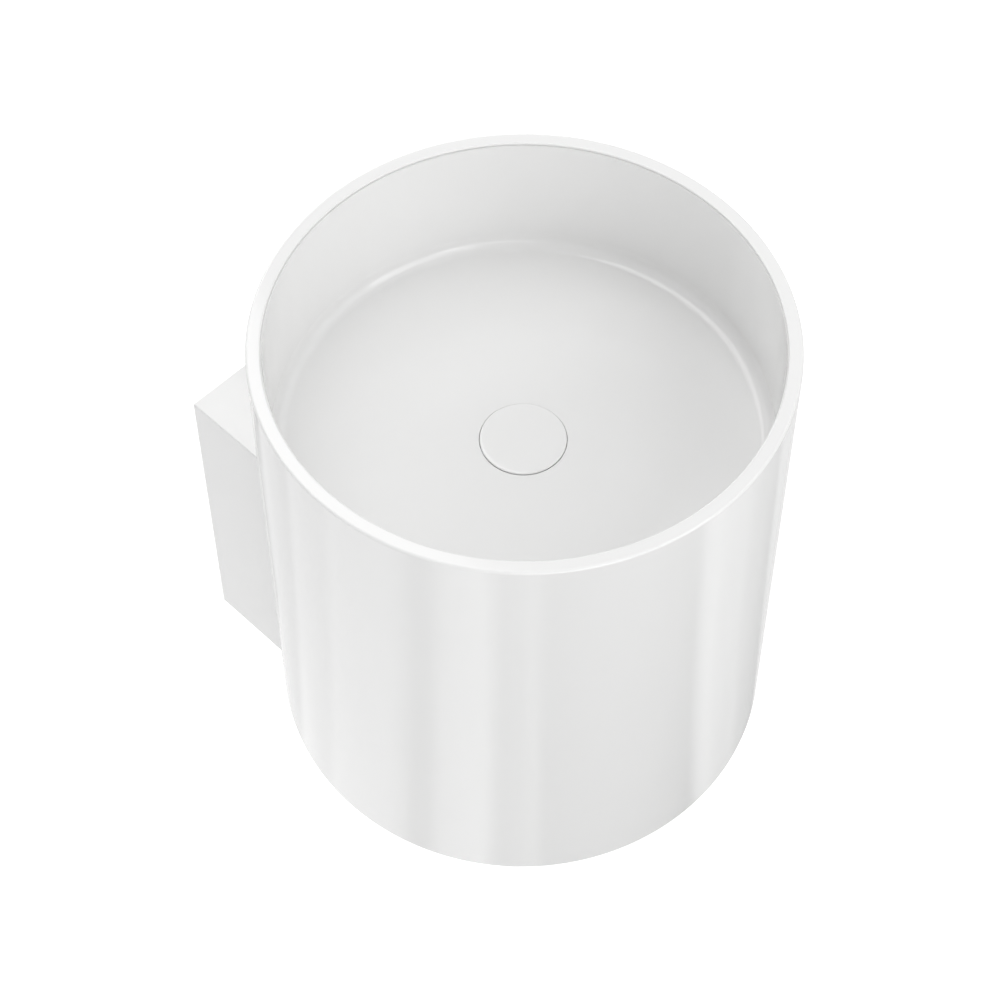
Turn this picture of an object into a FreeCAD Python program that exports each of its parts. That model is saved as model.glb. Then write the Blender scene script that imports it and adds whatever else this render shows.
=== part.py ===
# A round wall hung basin: a drum with a bowl set into its rim, on a square box that stands off the wall.
# A hook-on steel bracket carries it, and a push-open waste and a bottle trap drain it into the wall.
# Lengths are in millimetres. +Z is up and +Y goes into the wall. The origin is the centre of the four
# wall bolts, on the wall's surface. The plug is modelled closed.

import FreeCAD
import Part
import Sketcher
import math
import os
import re

# Driving dimensions: name, value, what it is.
SIZES = (
    ("drum_diameter", 400, "outside of the drum"),
    ("drum_height", 430, "rim to lower edge"),
    ("shell_wall", 6, "wall of the drum's shell"),
    ("rim_width", 10.5, "width of the rim, from the drum's outside to its clear opening"),
    ("lip_depth", 2.4, "height of the lip that covers the bowl's edge"),
    ("outer_edge_round", 2, "rounding of the rim's outer edge"),
    ("inner_edge_round", 1, "rounding of the rim's inner edge"),
    ("base_edge_round", 1, "rounding of the drum's lower edges"),
    ("seam_round", 0.9, "rounding each side of the seam under the lip"),
    ("bond_gap", 0.3, "adhesive between bonded curved faces"),
    ("bowl_wall", 5, "wall of the bowl"),
    ("bowl_depth", 115, "rim to the floor, at the bowl's wall"),
    ("floor_fall", 5, "fall of the floor from the wall to the drain"),
    ("floor_round", 12, "cove between the bowl's wall and floor"),
    ("floor_thickness", 10, "thickness of the bowl's floor"),
    ("boss_diameter", 90, "thick land under the drain"),
    ("boss_thickness", 11.5, "ceramic clamped between the waste's gaskets"),
    ("waste_hole", 46, "hole through the bowl for the waste"),
    ("wall_gap", 20, "wall to the nearest point of the drum"),
    ("box_width", 280, "outside width of the wall box"),
    ("box_height", 280, "outside height of the wall box"),
    ("box_wall", 8, "wall of the wall box"),
    ("box_edge_round", 1, "rounding of the wall box's long edges"),
    ("bolt_spacing", 200, "wall bolts, centre to centre, across"),
    ("bolt_hole", 11, "holes for the wall bolts"),
    ("bolt_end", 20, "wall bolts' centres to the bracket's top and bottom edges"),
    ("bracket_gap", 7, "bracket's sides to the inside of the wall box"),
    ("lift_gap", 12, "bracket's ends to the inside of the box, room to lift the basin off its hooks"),
    ("plate_thickness", 3, "steel of the bracket and the hanger"),
    ("bend_round", 2, "inside rounding of the folded hooks"),
    ("hook_spacing", 150, "hooks, centre to centre"),
    ("hook_width", 50, "width of a bracket hook"),
    ("hook_height", 60, "wall bolts' centre to the hook's underside"),
    ("hook_rise", 12, "height of a hook over its underside"),
    ("hook_slot", 6, "space behind a hook's lip"),
    ("tongue_side_gap", 3, "hook's side to the hanger tongue's side"),
    ("tongue_end_gap", 1, "end of the tongue to the floor of the slot"),
    ("hanger_inset", 10, "bracket's sides to the hanger's sides"),
    ("hanger_drop", 100, "wall bolts' centre to the hanger's lower edge"),
    ("block_inset", 7, "hanger's sides to the blocks' outer sides"),
    ("block_width", 46, "width of the saddle and clamp blocks"),
    ("block_height", 160, "height of the saddle and clamp blocks"),
    ("clamp_web", 7, "thinnest part of a clamp block"),
    ("stud_height", 90, "hanger bolts, centre to centre, up and down"),
    ("stud_diameter", 8, "hanger bolt"),
    ("stud_hole", 9, "holes for the hanger bolts"),
    ("stud_head", 5.3, "height of the hanger bolt's head"),
    ("stud_flats", 13, "hanger bolt and nut, across flats"),
    ("stud_nut", 6.5, "height of the hanger nut"),
    ("stud_end", 2.5, "thread showing past the hanger nut"),
    ("washer_diameter", 24, "hanger washer"),
    ("washer_thickness", 2, "hanger washer"),
    ("lock_diameter", 6, "locking screw under the box"),
    ("lock_head", 12, "diameter of the locking screw's head"),
    ("lock_head_height", 4, "height of the locking screw's head"),
    ("lock_key", 4, "locking screw's socket, across flats"),
    ("lock_sink", 0.5, "how deep the locking screw's head is sunk in the box"),
    ("lock_offset", 10, "wall to the locking screws"),
    ("lock_end", 5, "thread showing past the bracket's tab"),
    ("tab_width", 30, "bracket's tab over a locking screw"),
    ("tab_depth", 16, "wall to the tab's front"),
    ("thread_gap", 0.05, "radial play between a thread and its seat"),
    ("cap_diameter", 66, "waste cap"),
    ("cap_thickness", 2.5, "waste cap"),
    ("cap_proud", 1.5, "cap's top over the floor around it"),
    ("cap_gap", 0.6, "ring gap between the cap and its recess"),
    ("cap_edge_round", 0.8, "rounding of the cap's edges"),
    ("cap_clearance", 0.8, "cap to the flange when it is pressed in"),
    ("press_travel", 1.5, "how far the cap goes down to unlatch"),
    ("open_travel", 8.5, "how far the cap rises to drain"),
    ("flange_thickness", 2, "flange of the waste"),
    ("flange_gap", 0.6, "flange's edge to the recess"),
    ("flange_gasket", 1.2, "gasket under the flange"),
    ("thread_diameter", 41.9, "outside of the pipe threads of the waste and trap"),
    ("throat_diameter", 37, "bore of the waste"),
    ("throat_round", 1.5, "rounding of the waste's mouth"),
    ("tail_length", 82, "flange's top to the end of the waste's tail"),
    ("cup_washer", 4, "rubber washer under the bowl"),
    ("slip_washer", 2, "plastic washer on the back nut"),
    ("washer_gap", 0.3, "radial play of the washers on the tail"),
    ("washer_outside", 66, "outside of the washers under the bowl"),
    ("back_nut_height", 9, "back nut of the waste"),
    ("back_nut_flats", 52, "back nut, across flats"),
    ("seal_section", 2, "thickness of the plug's ring seal"),
    ("seal_fit", 0.05, "radial play of the ring seal in the throat"),
    ("seal_drop", 6.5, "cap's underside to the middle of the ring seal"),
    ("insert_gap", 1, "radial play of the plug insert in the throat"),
    ("insert_lip", 2.4, "plug insert under the ring seal"),
    ("groove_play", 0.1, "play of the ring seal in its groove, each side"),
    ("stem_diameter", 6, "plunger stem"),
    ("stem_fit", 0.06, "radial play of the stem in the cartridge"),
    ("stem_collar", 2, "height of the stem's lower collar"),
    ("stem_sink", 0.5, "stem's top below the cap"),
    ("cartridge_diameter", 12, "outside of the cartridge"),
    ("cartridge_wall", 1.8, "wall of the cartridge"),
    ("cartridge_end", 3, "thickness of the cartridge's lid and floor"),
    ("cartridge_gap", 1, "spare travel above and below the plug's range"),
    ("spring_length", 14.5, "plunger spring with the plug closed"),
    ("spring_wire", 0.8, "wire of the plunger spring"),
    ("spring_turns", 6, "turns of the plunger spring"),
    ("spring_gap", 0.3, "radial play of the spring in the cartridge"),
    ("cross_height", 8, "cross that carries the cartridge in the waste"),
    ("cross_arm", 3, "width of the cross's arms"),
    ("cross_hub", 15, "hub of the cross"),
    ("cross_stub", 8, "threaded end of the cartridge"),
    ("stub_end", 2, "cartridge's thread below the cross"),
    ("pipe_diameter", 32, "outside of the inlet and outlet pipes"),
    ("pipe_wall", 1.4, "wall of the pipes"),
    ("pipe_gap", 0.3, "radial play of a pipe in a neck or nut"),
    ("pipe_collar", 40, "collar at the top of the inlet pipe"),
    ("pipe_collar_height", 2.5, "collar at the top of the inlet pipe"),
    ("inlet_gasket", 1.5, "gasket between the waste and the inlet pipe"),
    ("nut_wall", 4.5, "wall of the trap's round nuts"),
    ("nut_shoulder", 4, "shoulder of the trap's round nuts"),
    ("nut_grip", 12, "thread held by the trap's round nuts"),
    ("nut_round", 1.5, "rounding of the trap's nuts"),
    ("trap_drop", 64.7, "end of the waste's tail to the outlet pipe's centre"),
    ("trap_diameter", 58, "outside of the trap's head and cup"),
    ("trap_wall", 3, "wall of the trap's head and cup"),
    ("trap_round", 3, "rounding of the trap's shoulder"),
    ("head_above", 28, "outlet's centre to the trap head's top"),
    ("head_below", 32, "outlet's centre to the trap head's lower edge"),
    ("neck_length", 14, "threaded neck on the trap head's top"),
    ("neck_reach", 50, "trap's centre to the end of the outlet neck"),
    ("ring_seal", 3, "seals under the trap's round nuts"),
    ("cup_collar_wall", 4, "collar of the trap's cup, outside its thread"),
    ("cup_collar_height", 14, "collar of the trap's cup"),
    ("cup_gasket", 1.8, "gasket between the trap's head and cup"),
    ("cup_depth", 74, "trap head's lower edge to the cup's underside"),
    ("cup_round", 8, "rounding of the cup's lower edge"),
    ("water_seal", 50, "water over the end of the inlet pipe"),
    ("pipe_window", 42, "holes for the outlet pipe in shell, hanger and bracket"),
    ("wall_entry", 25, "length of outlet pipe past the wall's surface"),
    ("bead_diameter", 34, "bead that stops the outlet pipe in the wall"),
    ("bead_width", 3, "bead that stops the outlet pipe in the wall"),
    ("bead_offset", 1, "wall's surface to the bead"),
)

# Places and radii worked out from the sizes.
WORKED_OUT = {
    # the drum and the bowl
    "drum_axis": "-(drum_diameter / 2 + wall_gap)",
    "drum_radius": "drum_diameter / 2",
    "base": "-box_height / 2",
    "rim": "base + drum_height",
    "lip_under": "rim - lip_depth",
    "rim_inside": "drum_radius - rim_width",
    "shell_inside": "drum_radius - shell_wall",
    "bowl_outside": "shell_inside - bond_gap",
    "bowl_inside": "bowl_outside - bowl_wall",
    "floor_edge": "rim - bowl_depth",
    "drain_floor": "floor_edge - floor_fall",
    "recess_radius": "cap_diameter / 2 + cap_gap",
    # the waste, downwards
    "cap_top": "drain_floor + cap_proud",
    "cap_under": "cap_top - cap_thickness",
    "flange_top": "cap_under - press_travel - cap_clearance",
    "flange_under": "flange_top - flange_thickness",
    "recess_floor": "flange_under - flange_gasket",
    "boss_under": "recess_floor - boss_thickness",
    "cup_washer_under": "boss_under - cup_washer",
    "slip_washer_under": "cup_washer_under - slip_washer",
    "back_nut_under": "slip_washer_under - back_nut_height",
    "tail_end": "flange_top - tail_length",
    "flange_radius": "recess_radius - flange_gap",
    "thread_radius": "thread_diameter / 2",
    "throat_radius": "throat_diameter / 2",
    # the plug and its cartridge
    "seal_middle": "cap_under - seal_drop",
    "seal_outside": "throat_radius - seal_fit",
    "groove_radius": "seal_outside - seal_section",
    "insert_radius": "throat_radius - insert_gap",
    "insert_under": "seal_middle - seal_section / 2 - groove_play - insert_lip",
    "cartridge_top": "insert_under - press_travel - cartridge_gap",
    "cartridge_lid": "cartridge_top - cartridge_end",
    "collar_top": "cartridge_lid - open_travel - cartridge_gap",
    "collar_under": "collar_top - stem_collar",
    "spring_foot": "collar_under - spring_length",
    "cartridge_foot": "spring_foot - cartridge_end",
    "cross_under": "cartridge_foot - cross_height",
    "cartridge_bore": "cartridge_diameter / 2 - cartridge_wall",
    "stem_radius": "stem_diameter / 2",
    "spring_radius": "cartridge_bore - spring_gap - spring_wire / 2",
    # the trap
    "outlet_height": "tail_end - trap_drop",
    "pipe_radius": "pipe_diameter / 2",
    "pipe_bore": "pipe_radius - pipe_wall",
    "neck_bore": "pipe_radius + pipe_gap",
    "nut_radius": "thread_radius + nut_wall",
    "nut_bore": "thread_radius + thread_gap",
    "pipe_top": "tail_end - inlet_gasket",
    "pipe_collar_under": "pipe_top - pipe_collar_height",
    "trap_radius": "trap_diameter / 2",
    "cavity_radius": "trap_radius - trap_wall",
    "head_top": "outlet_height + head_above",
    "head_under": "outlet_height - head_below",
    "neck_top": "head_top + neck_length",
    "pipe_end": "outlet_height - pipe_bore - water_seal",
    "neck_end": "drum_axis + neck_reach",
    "cup_ledge": "head_under - cup_gasket",
    "cup_bore": "trap_radius + thread_gap",
    "cup_under": "head_under - cup_depth",
    # the bracket and the hanger
    "bracket_side": "box_width / 2 - box_wall - bracket_gap",
    "bracket_end": "box_height / 2 - box_wall - lift_gap",
    "bolt_rise": "bracket_end - bolt_end",
    "slot_back": "-plate_thickness",
    "lip_back": "slot_back - hook_slot",
    "lip_front": "lip_back - plate_thickness",
    "hook_top": "hook_height + hook_rise",
    "tongue_end": "hook_height + plate_thickness + tongue_end_gap",
    "hanger_side": "bracket_side - hanger_inset",
    "hanger_front": "-wall_gap + bond_gap",
    "hanger_back": "hanger_front + plate_thickness",
    "tongue_top": "hook_top + plate_thickness",
    "block_outer": "hanger_side - block_inset",
    "block_inner": "block_outer - block_width",
    "block_middle": "block_outer - block_width / 2",
    "clamp_outside": "shell_inside - bond_gap",
    "clamp_face": "drum_axis + sqrt(pow(clamp_outside; 2) - pow(block_outer; 2)) - clamp_web",
    "stud_nut_face": "clamp_face - washer_thickness - stud_nut",
    "lock_under": "base + lock_sink",
    "tab_top": "-bracket_end + plate_thickness",
}

WORD = re.compile(r"[a-z_]+")
SOUTH = FreeCAD.Rotation(FreeCAD.Vector(1, 0, 0), -90)  # turns a piece's own Z to the row's +Y
SIDES = (("left", "-hook_spacing / 2"), ("right", "hook_spacing / 2"))  # X of the hooks, tabs and screws

doc = FreeCAD.newDocument("wall_hung_basin")
sheet = doc.addObject("Spreadsheet::Sheet", "Sizes")
pieces = []


def fill_sheet():
    """Write the driving dimensions, one to a row, each with its name as the alias."""
    for row, (name, value, note) in enumerate(SIZES, start=1):
        sheet.set(f"A{row}", name)
        sheet.set(f"B{row}", str(value))
        sheet.set(f"C{row}", note)
        sheet.setAlias(f"B{row}", name)
    doc.recompute()


SIZE_NAMES = {name for name, value, note in SIZES}


def formula(text):
    """A formula on the names above, as an expression on the sheet's cells."""

    def replace(match):
        word = match.group()
        if word in WORKED_OUT:
            return f"({formula(WORKED_OUT[word])})"
        return f"Sizes.{word}" if word in SIZE_NAMES else word

    return WORD.sub(replace, text)


def number(text):
    """What a formula comes to now."""
    result = sheet.evalExpression(formula(text))
    return float(getattr(result, "Value", result))


def bind(thing, **formulas):
    """Bind properties of an object to formulas."""
    for name, text in formulas.items():
        thing.setExpression(name, formula(text))


def place(thing, across="0", into="0", up="0"):
    """Bind where an object stands: across is X, into is Y and up is Z."""
    for axis, text in zip("xyz", (across, into, up)):
        thing.setExpression(f"Placement.Base.{axis}", formula(text))
    return thing


def origin_plane(body, role):
    """The origin plane of a body that has this role, such as XZ_Plane."""
    return next(item for item in body.Origin.OriginFeatures if item.Role == role)


def sketch_on(body, role, name):
    """A new sketch on one of the body's origin planes."""
    sketch = body.newObject("Sketcher::SketchObject", name)
    sketch.AttachmentSupport = (origin_plane(body, role), [""])
    sketch.MapMode = "FlatFace"
    return sketch


def corner_points(points, rounds):
    """Where the outline's lines reach and leave each corner, and each rounded corner's middle."""
    found = []
    for index, point in enumerate(points):
        if not rounds[index]:
            found.append((point, None, point))
            continue
        back = (points[index - 1] - point).normalize()
        onward = (points[(index + 1) % len(points)] - point).normalize()
        half = back.getAngle(onward) / 2
        reach = rounds[index] / math.tan(half)
        inward = (back + onward).normalize()
        middle = point + inward * (rounds[index] / math.sin(half) - rounds[index])
        found.append((point + back * reach, middle, point + onward * reach))
    return found


def draw_outline(sketch, corners):
    """Draw a closed outline with every corner bound.

    A corner is (along, up) or (along, up, rounding), each a formula. A rounded corner keeps a
    construction point where its two lines meet, and that point carries its two distances.
    """
    points = [FreeCAD.Vector(number(corner[0]), number(corner[1]), 0) for corner in corners]
    rounds = [number(corner[2]) if len(corner) > 2 else 0 for corner in corners]
    reached = corner_points(points, rounds)
    count = len(corners)
    for index in range(count):
        start = reached[index][2]
        end = reached[(index + 1) % count][0]
        sketch.addGeometry(Part.LineSegment(start, end), False)
    for index, corner in enumerate(corners):
        line_in = (index - 1) % count
        if rounds[index]:
            holder = round_corner(sketch, index, line_in, reached[index], points[index], rounds[index])
        else:
            sketch.addConstraint(Sketcher.Constraint("Coincident", line_in, 2, index, 1))
            holder = index
        for kind, text, value in zip(("DistanceX", "DistanceY"), corner, points[index]):
            name = f"{kind}_{index}"
            at = sketch.addConstraint(Sketcher.Constraint(kind, -1, 1, holder, 1, value))
            sketch.renameConstraint(at, name)
            sketch.setExpression(f"Constraints.{name}", formula(text))
        if rounds[index]:
            sketch.setExpression(f"Constraints.Radius_{index}", formula(corner[2]))


def round_corner(sketch, index, line_in, reach, corner, radius):
    """Join two lines by a tangent arc, and return the construction point at their corner."""
    start, middle, end = reach
    turns_left = (corner - start).cross(end - corner).z > 0
    first, last = (1, 2) if turns_left else (2, 1)
    ends = (start, end) if turns_left else (end, start)
    arc = sketch.addGeometry(Part.Arc(ends[0], middle, ends[1]), False)
    point = sketch.addGeometry(Part.Point(corner), True)
    at = sketch.addConstraint(
        [
            Sketcher.Constraint("Tangent", line_in, 2, arc, first),
            Sketcher.Constraint("Tangent", arc, last, index, 1),
            Sketcher.Constraint("PointOnObject", point, 1, line_in),
            Sketcher.Constraint("PointOnObject", point, 1, index),
            Sketcher.Constraint("Radius", arc, radius),
        ]
    )
    sketch.renameConstraint(at[-1], f"Radius_{index}")
    return point


def turned(label, corners):
    """A body turned about its own Z axis from an outline of (radius, height) corners."""
    body = doc.addObject("PartDesign::Body", label)
    sketch = sketch_on(body, "XZ_Plane", f"{label}_outline")
    draw_outline(sketch, corners)
    turn = body.newObject("PartDesign::Revolution", f"{label}_turn")
    turn.Profile = sketch
    turn.ReferenceAxis = (sketch, ["V_Axis"])
    turn.Angle = 360
    return body


def on_drum_axis(label, corners):
    """A turned body that stands on the drum's axis."""
    return place(turned(label, corners), into="drum_axis")


def on_outlet_axis(label, corners):
    """A turned body along the outlet pipe: its heights count from the wall's surface."""
    body = turned(label, corners)
    body.Placement = FreeCAD.Placement(FreeCAD.Vector(), SOUTH)
    return place(body, up="outlet_height")


def padded(label, role, corners, length, midplane=False):
    """A body padded from an outline on one of its origin planes."""
    body = doc.addObject("PartDesign::Body", label)
    sketch = sketch_on(body, role, f"{label}_outline")
    draw_outline(sketch, corners)
    pad = body.newObject("PartDesign::Pad", f"{label}_pad")
    pad.Profile = sketch
    pad.Midplane = midplane
    bind(pad, Length=length)
    return body


def square(half_width, half_height, rounding=None):
    """The corners of a centred rectangle, anticlockwise."""
    signs = ((-1, -1), (1, -1), (1, 1), (-1, 1))
    tail = (rounding,) if rounding else ()
    return [(f"{a} * ({half_width})", f"{b} * ({half_height})") + tail for a, b in signs]


def box(label, length, depth, height, across, into, up):
    """A plain box from its lowest corner: length is along X and depth along Y."""
    solid = doc.addObject("Part::Box", label)
    bind(solid, Length=length, Width=depth, Height=height)
    return place(solid, across, into, up)


def rod(label, radius, length, across="0", into="drum_axis", up="0", rotation=None):
    """A cylinder from its lower end, along Z or, with a rotation, along the turned Z."""
    solid = doc.addObject("Part::Cylinder", label)
    if rotation:
        solid.Placement = FreeCAD.Placement(FreeCAD.Vector(), rotation)
    bind(solid, Radius=radius, Height=length)
    return place(solid, across, into, up)


def hexagon(label, flats, length, across="0", into="drum_axis", up="0", rotation=None):
    """A six sided prism, from its distance across flats."""
    solid = doc.addObject("Part::Prism", label)
    solid.Polygon = 6
    if rotation:
        solid.Placement = FreeCAD.Placement(FreeCAD.Vector(), rotation)
    bind(solid, Circumradius=f"{flats} / sqrt(3)", Height=length)
    return place(solid, across, into, up)


def joined(label, parts):
    """One solid from several that overlap."""
    whole = doc.addObject("Part::MultiFuse", label)
    whole.Shapes = parts
    return whole


def cut(label, base, tools):
    """A solid less its tools."""
    tool = tools[0] if len(tools) == 1 else joined(f"{label}_tools", tools)
    result = doc.addObject("Part::Cut", label)
    result.Base = base
    result.Tool = tool
    return result


def common(label, first, second):
    """What two solids share."""
    result = doc.addObject("Part::Common", label)
    result.Base = first
    result.Tool = second
    return result


def group(label, parts):
    """Separate solids kept in one node."""
    whole = doc.addObject("Part::Compound", label)
    whole.Links = parts
    return whole


def ring(label, outer, inner, low, high):
    """A flat ring on the drum's axis, between two heights."""
    height = f"{high} - ({low})"
    disc = rod(f"{label}_disc", outer, height, up=low)
    hole = rod(f"{label}_hole", inner, height, up=low)
    return cut(label, disc, [hole])


def keep(label, thing):
    """Give a finished piece its name and put it on the list to write."""
    thing.Label = label
    pieces.append(thing)


def drum_shell():
    """The outer drum: a thin wall with a lip at the rim, open below and drilled at the back."""
    wall = on_drum_axis(
        "shell",
        [
            ("drum_radius", "base", "base_edge_round"),
            ("drum_radius", "rim", "outer_edge_round"),
            ("rim_inside", "rim", "inner_edge_round"),
            ("rim_inside", "lip_under", "seam_round"),
            ("shell_inside", "lip_under"),
            ("shell_inside", "base", "base_edge_round"),
        ],
    )
    drills = stud_drills("shell", "-drum_axis")
    drills.append(pipe_hole("shell_window", "-drum_axis"))
    keep("drum_shell", cut("shell_drilled", wall, drills))


def bowl():
    """The bowl: a thin cylinder with a coved floor that falls to the waste's recess."""
    keep(
        "bowl",
        on_drum_axis(
            "bowl",
            [
                ("bowl_outside", "lip_under"),
                ("bowl_inside", "lip_under", "seam_round"),
                ("bowl_inside", "floor_edge", "floor_round"),
                ("recess_radius", "drain_floor", "seam_round"),
                ("recess_radius", "recess_floor"),
                ("waste_hole / 2", "recess_floor"),
                ("waste_hole / 2", "boss_under"),
                ("boss_diameter / 2", "boss_under"),
                ("boss_diameter / 2", "drain_floor - floor_thickness"),
                ("bowl_outside", "floor_edge - floor_thickness", "floor_round + bowl_wall"),
            ],
        ),
    )


def wall_box():
    """The square box between wall and drum, its front edges scribed to the drum."""
    outside = padded(
        "box_outside",
        "XZ_Plane",
        square("box_width / 2", "box_height / 2", "box_edge_round"),
        "-drum_axis",
    )
    inside = padded(
        "box_inside",
        "XZ_Plane",
        square("box_width / 2 - box_wall", "box_height / 2 - box_wall"),
        "-drum_axis",
    )
    tools = [inside, rod("box_scribe", "drum_radius + bond_gap", "box_height", up="base")]
    sink_depth = "lock_sink + lock_head_height"
    for side, across in SIDES:
        at = (across, "-lock_offset", "base")
        tools.append(rod(f"box_hole_{side}", "lock_diameter / 2 + bond_gap", "box_wall", *at))
        tools.append(rod(f"box_sink_{side}", "lock_head / 2 + bond_gap", sink_depth, *at))
    keep("wall_box", cut("box_cut", outside, tools))


def stud_places():
    """Name, X and Z of each hanger bolt."""
    for side, x_sign in (("left", "-"), ("right", "")):
        for level, z_sign in (("lower", "-"), ("upper", "")):
            yield f"stud_{side}_{level}", f"{x_sign}block_middle", f"{z_sign}stud_height / 2"


def pipe_hole(label, depth, into="drum_axis"):
    """The drill that lets the outlet pipe through."""
    return rod(label, "pipe_window / 2", depth, into=into, up="outlet_height", rotation=SOUTH)


def stud_drills(label, depth, into="drum_axis", side=""):
    """Drills for the hanger bolts, of one side or both."""
    return [
        rod(f"{label}_{name}", "stud_hole / 2", depth, across, into, up, SOUTH)
        for name, across, up in stud_places()
        if side in name
    ]


def bracket_hook(side, across):
    """One hook of the wall bracket: a floor that comes out of the plate, and a lip that goes up."""
    outline = [
        ("-plate_thickness / 2", "hook_height"),
        ("-plate_thickness / 2", "hook_height + plate_thickness"),
        ("lip_back", "hook_height + plate_thickness"),
        ("lip_back", "hook_top"),
        ("lip_front", "hook_top"),
        ("lip_front", "hook_height", "bend_round"),
    ]
    hook = padded(f"bracket_hook_{side}", "YZ_Plane", outline, "hook_width", midplane=True)
    return place(hook, across=across)


def bracket_drills():
    """The holes in the bracket for the outlet pipe, the wall bolts and the locking screws."""
    drills = [pipe_hole("bracket_window", "plate_thickness", "-plate_thickness")]
    for x_sign in ("-", ""):
        for z_sign in ("-", ""):
            at = (f"{x_sign}bolt_spacing / 2", "-plate_thickness", f"{z_sign}bolt_rise")
            drills.append(rod("bracket_bolt", "bolt_hole / 2", "plate_thickness", *at, SOUTH))
    for side, across in SIDES:
        at = (across, "-lock_offset", "-bracket_end")
        drills.append(rod(f"bracket_lock_{side}", "lock_diameter / 2 + thread_gap", "plate_thickness", *at))
    return drills


def wall_bracket():
    """The steel plate on the wall: four bolt holes, two hooks that open upwards, two screw tabs."""
    parts = [padded("bracket_web", "XZ_Plane", square("bracket_side", "bracket_end"), "plate_thickness")]
    for side, across in SIDES:
        corner = (f"{across} - tab_width / 2", "-tab_depth", "-bracket_end")
        parts.append(bracket_hook(side, across))
        parts.append(box(f"bracket_tab_{side}", "tab_width", "tab_depth", "plate_thickness", *corner))
    keep("wall_bracket", cut("bracket_cut", joined("bracket_whole", parts), bracket_drills()))


def hanger_tongue(side, across):
    """One tongue of the hanger: folded back over the plate's top and down into the hook."""
    outline = [
        ("hanger_front + plate_thickness / 2", "hook_top"),
        ("lip_back", "hook_top"),
        ("lip_back", "tongue_end"),
        ("lip_back + plate_thickness", "tongue_end"),
        ("lip_back + plate_thickness", "tongue_top", "bend_round"),
        ("hanger_front + plate_thickness / 2", "tongue_top"),
    ]
    width = "hook_width - 2 * tongue_side_gap"
    return place(padded(f"hanger_tongue_{side}", "YZ_Plane", outline, width, midplane=True), across=across)


def hanger_plate():
    """The steel plate on the drum's back, whose two folded tongues drop into the hooks."""
    corner = ("-hanger_side", "hanger_front", "-hanger_drop")
    parts = [box("hanger_flat", "2 * hanger_side", "plate_thickness", "hanger_drop + tongue_top", *corner)]
    for side, across in SIDES:
        parts.append(hanger_tongue(side, across))
    drills = stud_drills("hanger", "plate_thickness", "hanger_front")
    drills.append(pipe_hole("hanger_window", "plate_thickness", "hanger_front"))
    keep("hanger_plate", cut("hanger_cut", joined("hanger_whole", parts), drills))


def block(label, side, back, front):
    """A plain block on one side of the outlet, between two depths."""
    left = "-block_outer" if side == "left" else "block_inner"
    return box(label, "block_width", f"{front} - ({back})", "block_height", left, back, "-block_height / 2")


def saddle_block(side):
    """The block that fills the space between the flat hanger and the round drum."""
    label = f"saddle_block_{side}"
    blank = block(f"{label}_blank", side, "drum_axis", "hanger_front")
    drum = rod(f"{label}_scribe", "drum_radius + bond_gap", "block_height", up="-block_height / 2")
    keep(label, cut(f"{label}_cut", blank, [drum] + stud_drills(label, "-drum_axis", side=side)))


def clamp_block(side):
    """The block inside the drum that gives the nuts a flat seat on the round wall."""
    label = f"clamp_block_{side}"
    blank = block(f"{label}_blank", side, "clamp_face", "0")
    bore = rod(f"{label}_bore", "clamp_outside", "block_height", up="-block_height / 2")
    curved = common(f"{label}_curved", blank, bore)
    keep(label, cut(f"{label}_cut", curved, stud_drills(label, "-drum_axis", side=side)))


def hanger_bolt(name, across, up):
    """One bolt, its head on the hanger's back and its thread just past the nut."""
    tip = "stud_nut_face - stud_end"
    shank = rod(f"{name}_shank", "stud_diameter / 2", f"hanger_back - ({tip})", across, tip, up, SOUTH)
    head = hexagon(f"{name}_head", "stud_flats", "stud_head", across, "hanger_back", up, SOUTH)
    return joined(f"{name}_bolt", [shank, head])


def hanger_washer(name, across, up):
    """One large washer on a clamp block."""
    at = (across, "clamp_face - washer_thickness", up, SOUTH)
    disc = rod(f"{name}_disc", "washer_diameter / 2", "washer_thickness", *at)
    drill = rod(f"{name}_drill", "stud_diameter / 2 + bond_gap", "washer_thickness", *at)
    return cut(f"{name}_washer", disc, [drill])


def hanger_nut(name, across, up):
    """One nut on its washer."""
    at = (across, "stud_nut_face", up, SOUTH)
    blank = hexagon(f"{name}_hex", "stud_flats", "stud_nut", *at)
    tap = rod(f"{name}_tap", "stud_diameter / 2 + thread_gap", "stud_nut", *at)
    return cut(f"{name}_nut", blank, [tap])


def hanger_fasteners():
    """Bolts through hanger, block, drum and clamp block, with washers and nuts inside the drum."""
    for label, make in (("bolts", hanger_bolt), ("washers", hanger_washer), ("nuts", hanger_nut)):
        keep(f"hanger_{label}", group(f"{label}_group", [make(*stud) for stud in stud_places()]))


def lock_screws():
    """The two screws that go up through the box into the bracket's tabs, against lifting off."""
    screws = []
    for side, across in SIDES:
        at = (across, "-lock_offset", "lock_under")
        head = rod(f"lock_head_{side}", "lock_head / 2", "lock_head_height", *at)
        shank = rod(f"lock_shank_{side}", "lock_diameter / 2", "tab_top + lock_end - (lock_under)", *at)
        socket = hexagon(f"lock_socket_{side}", "lock_key", "lock_head_height / 2", *at)
        screws.append(cut(f"lock_screw_{side}", joined(f"lock_blank_{side}", [head, shank]), [socket]))
    keep("lock_screws", group("lock_group", screws))


def waste_cap():
    """The flat white disc over the drain."""
    keep(
        "waste_cap",
        on_drum_axis(
            "cap",
            [
                ("0", "cap_under"),
                ("cap_diameter / 2", "cap_under", "cap_edge_round"),
                ("cap_diameter / 2", "cap_top", "cap_edge_round"),
                ("0", "cap_top"),
            ],
        ),
    )


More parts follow.
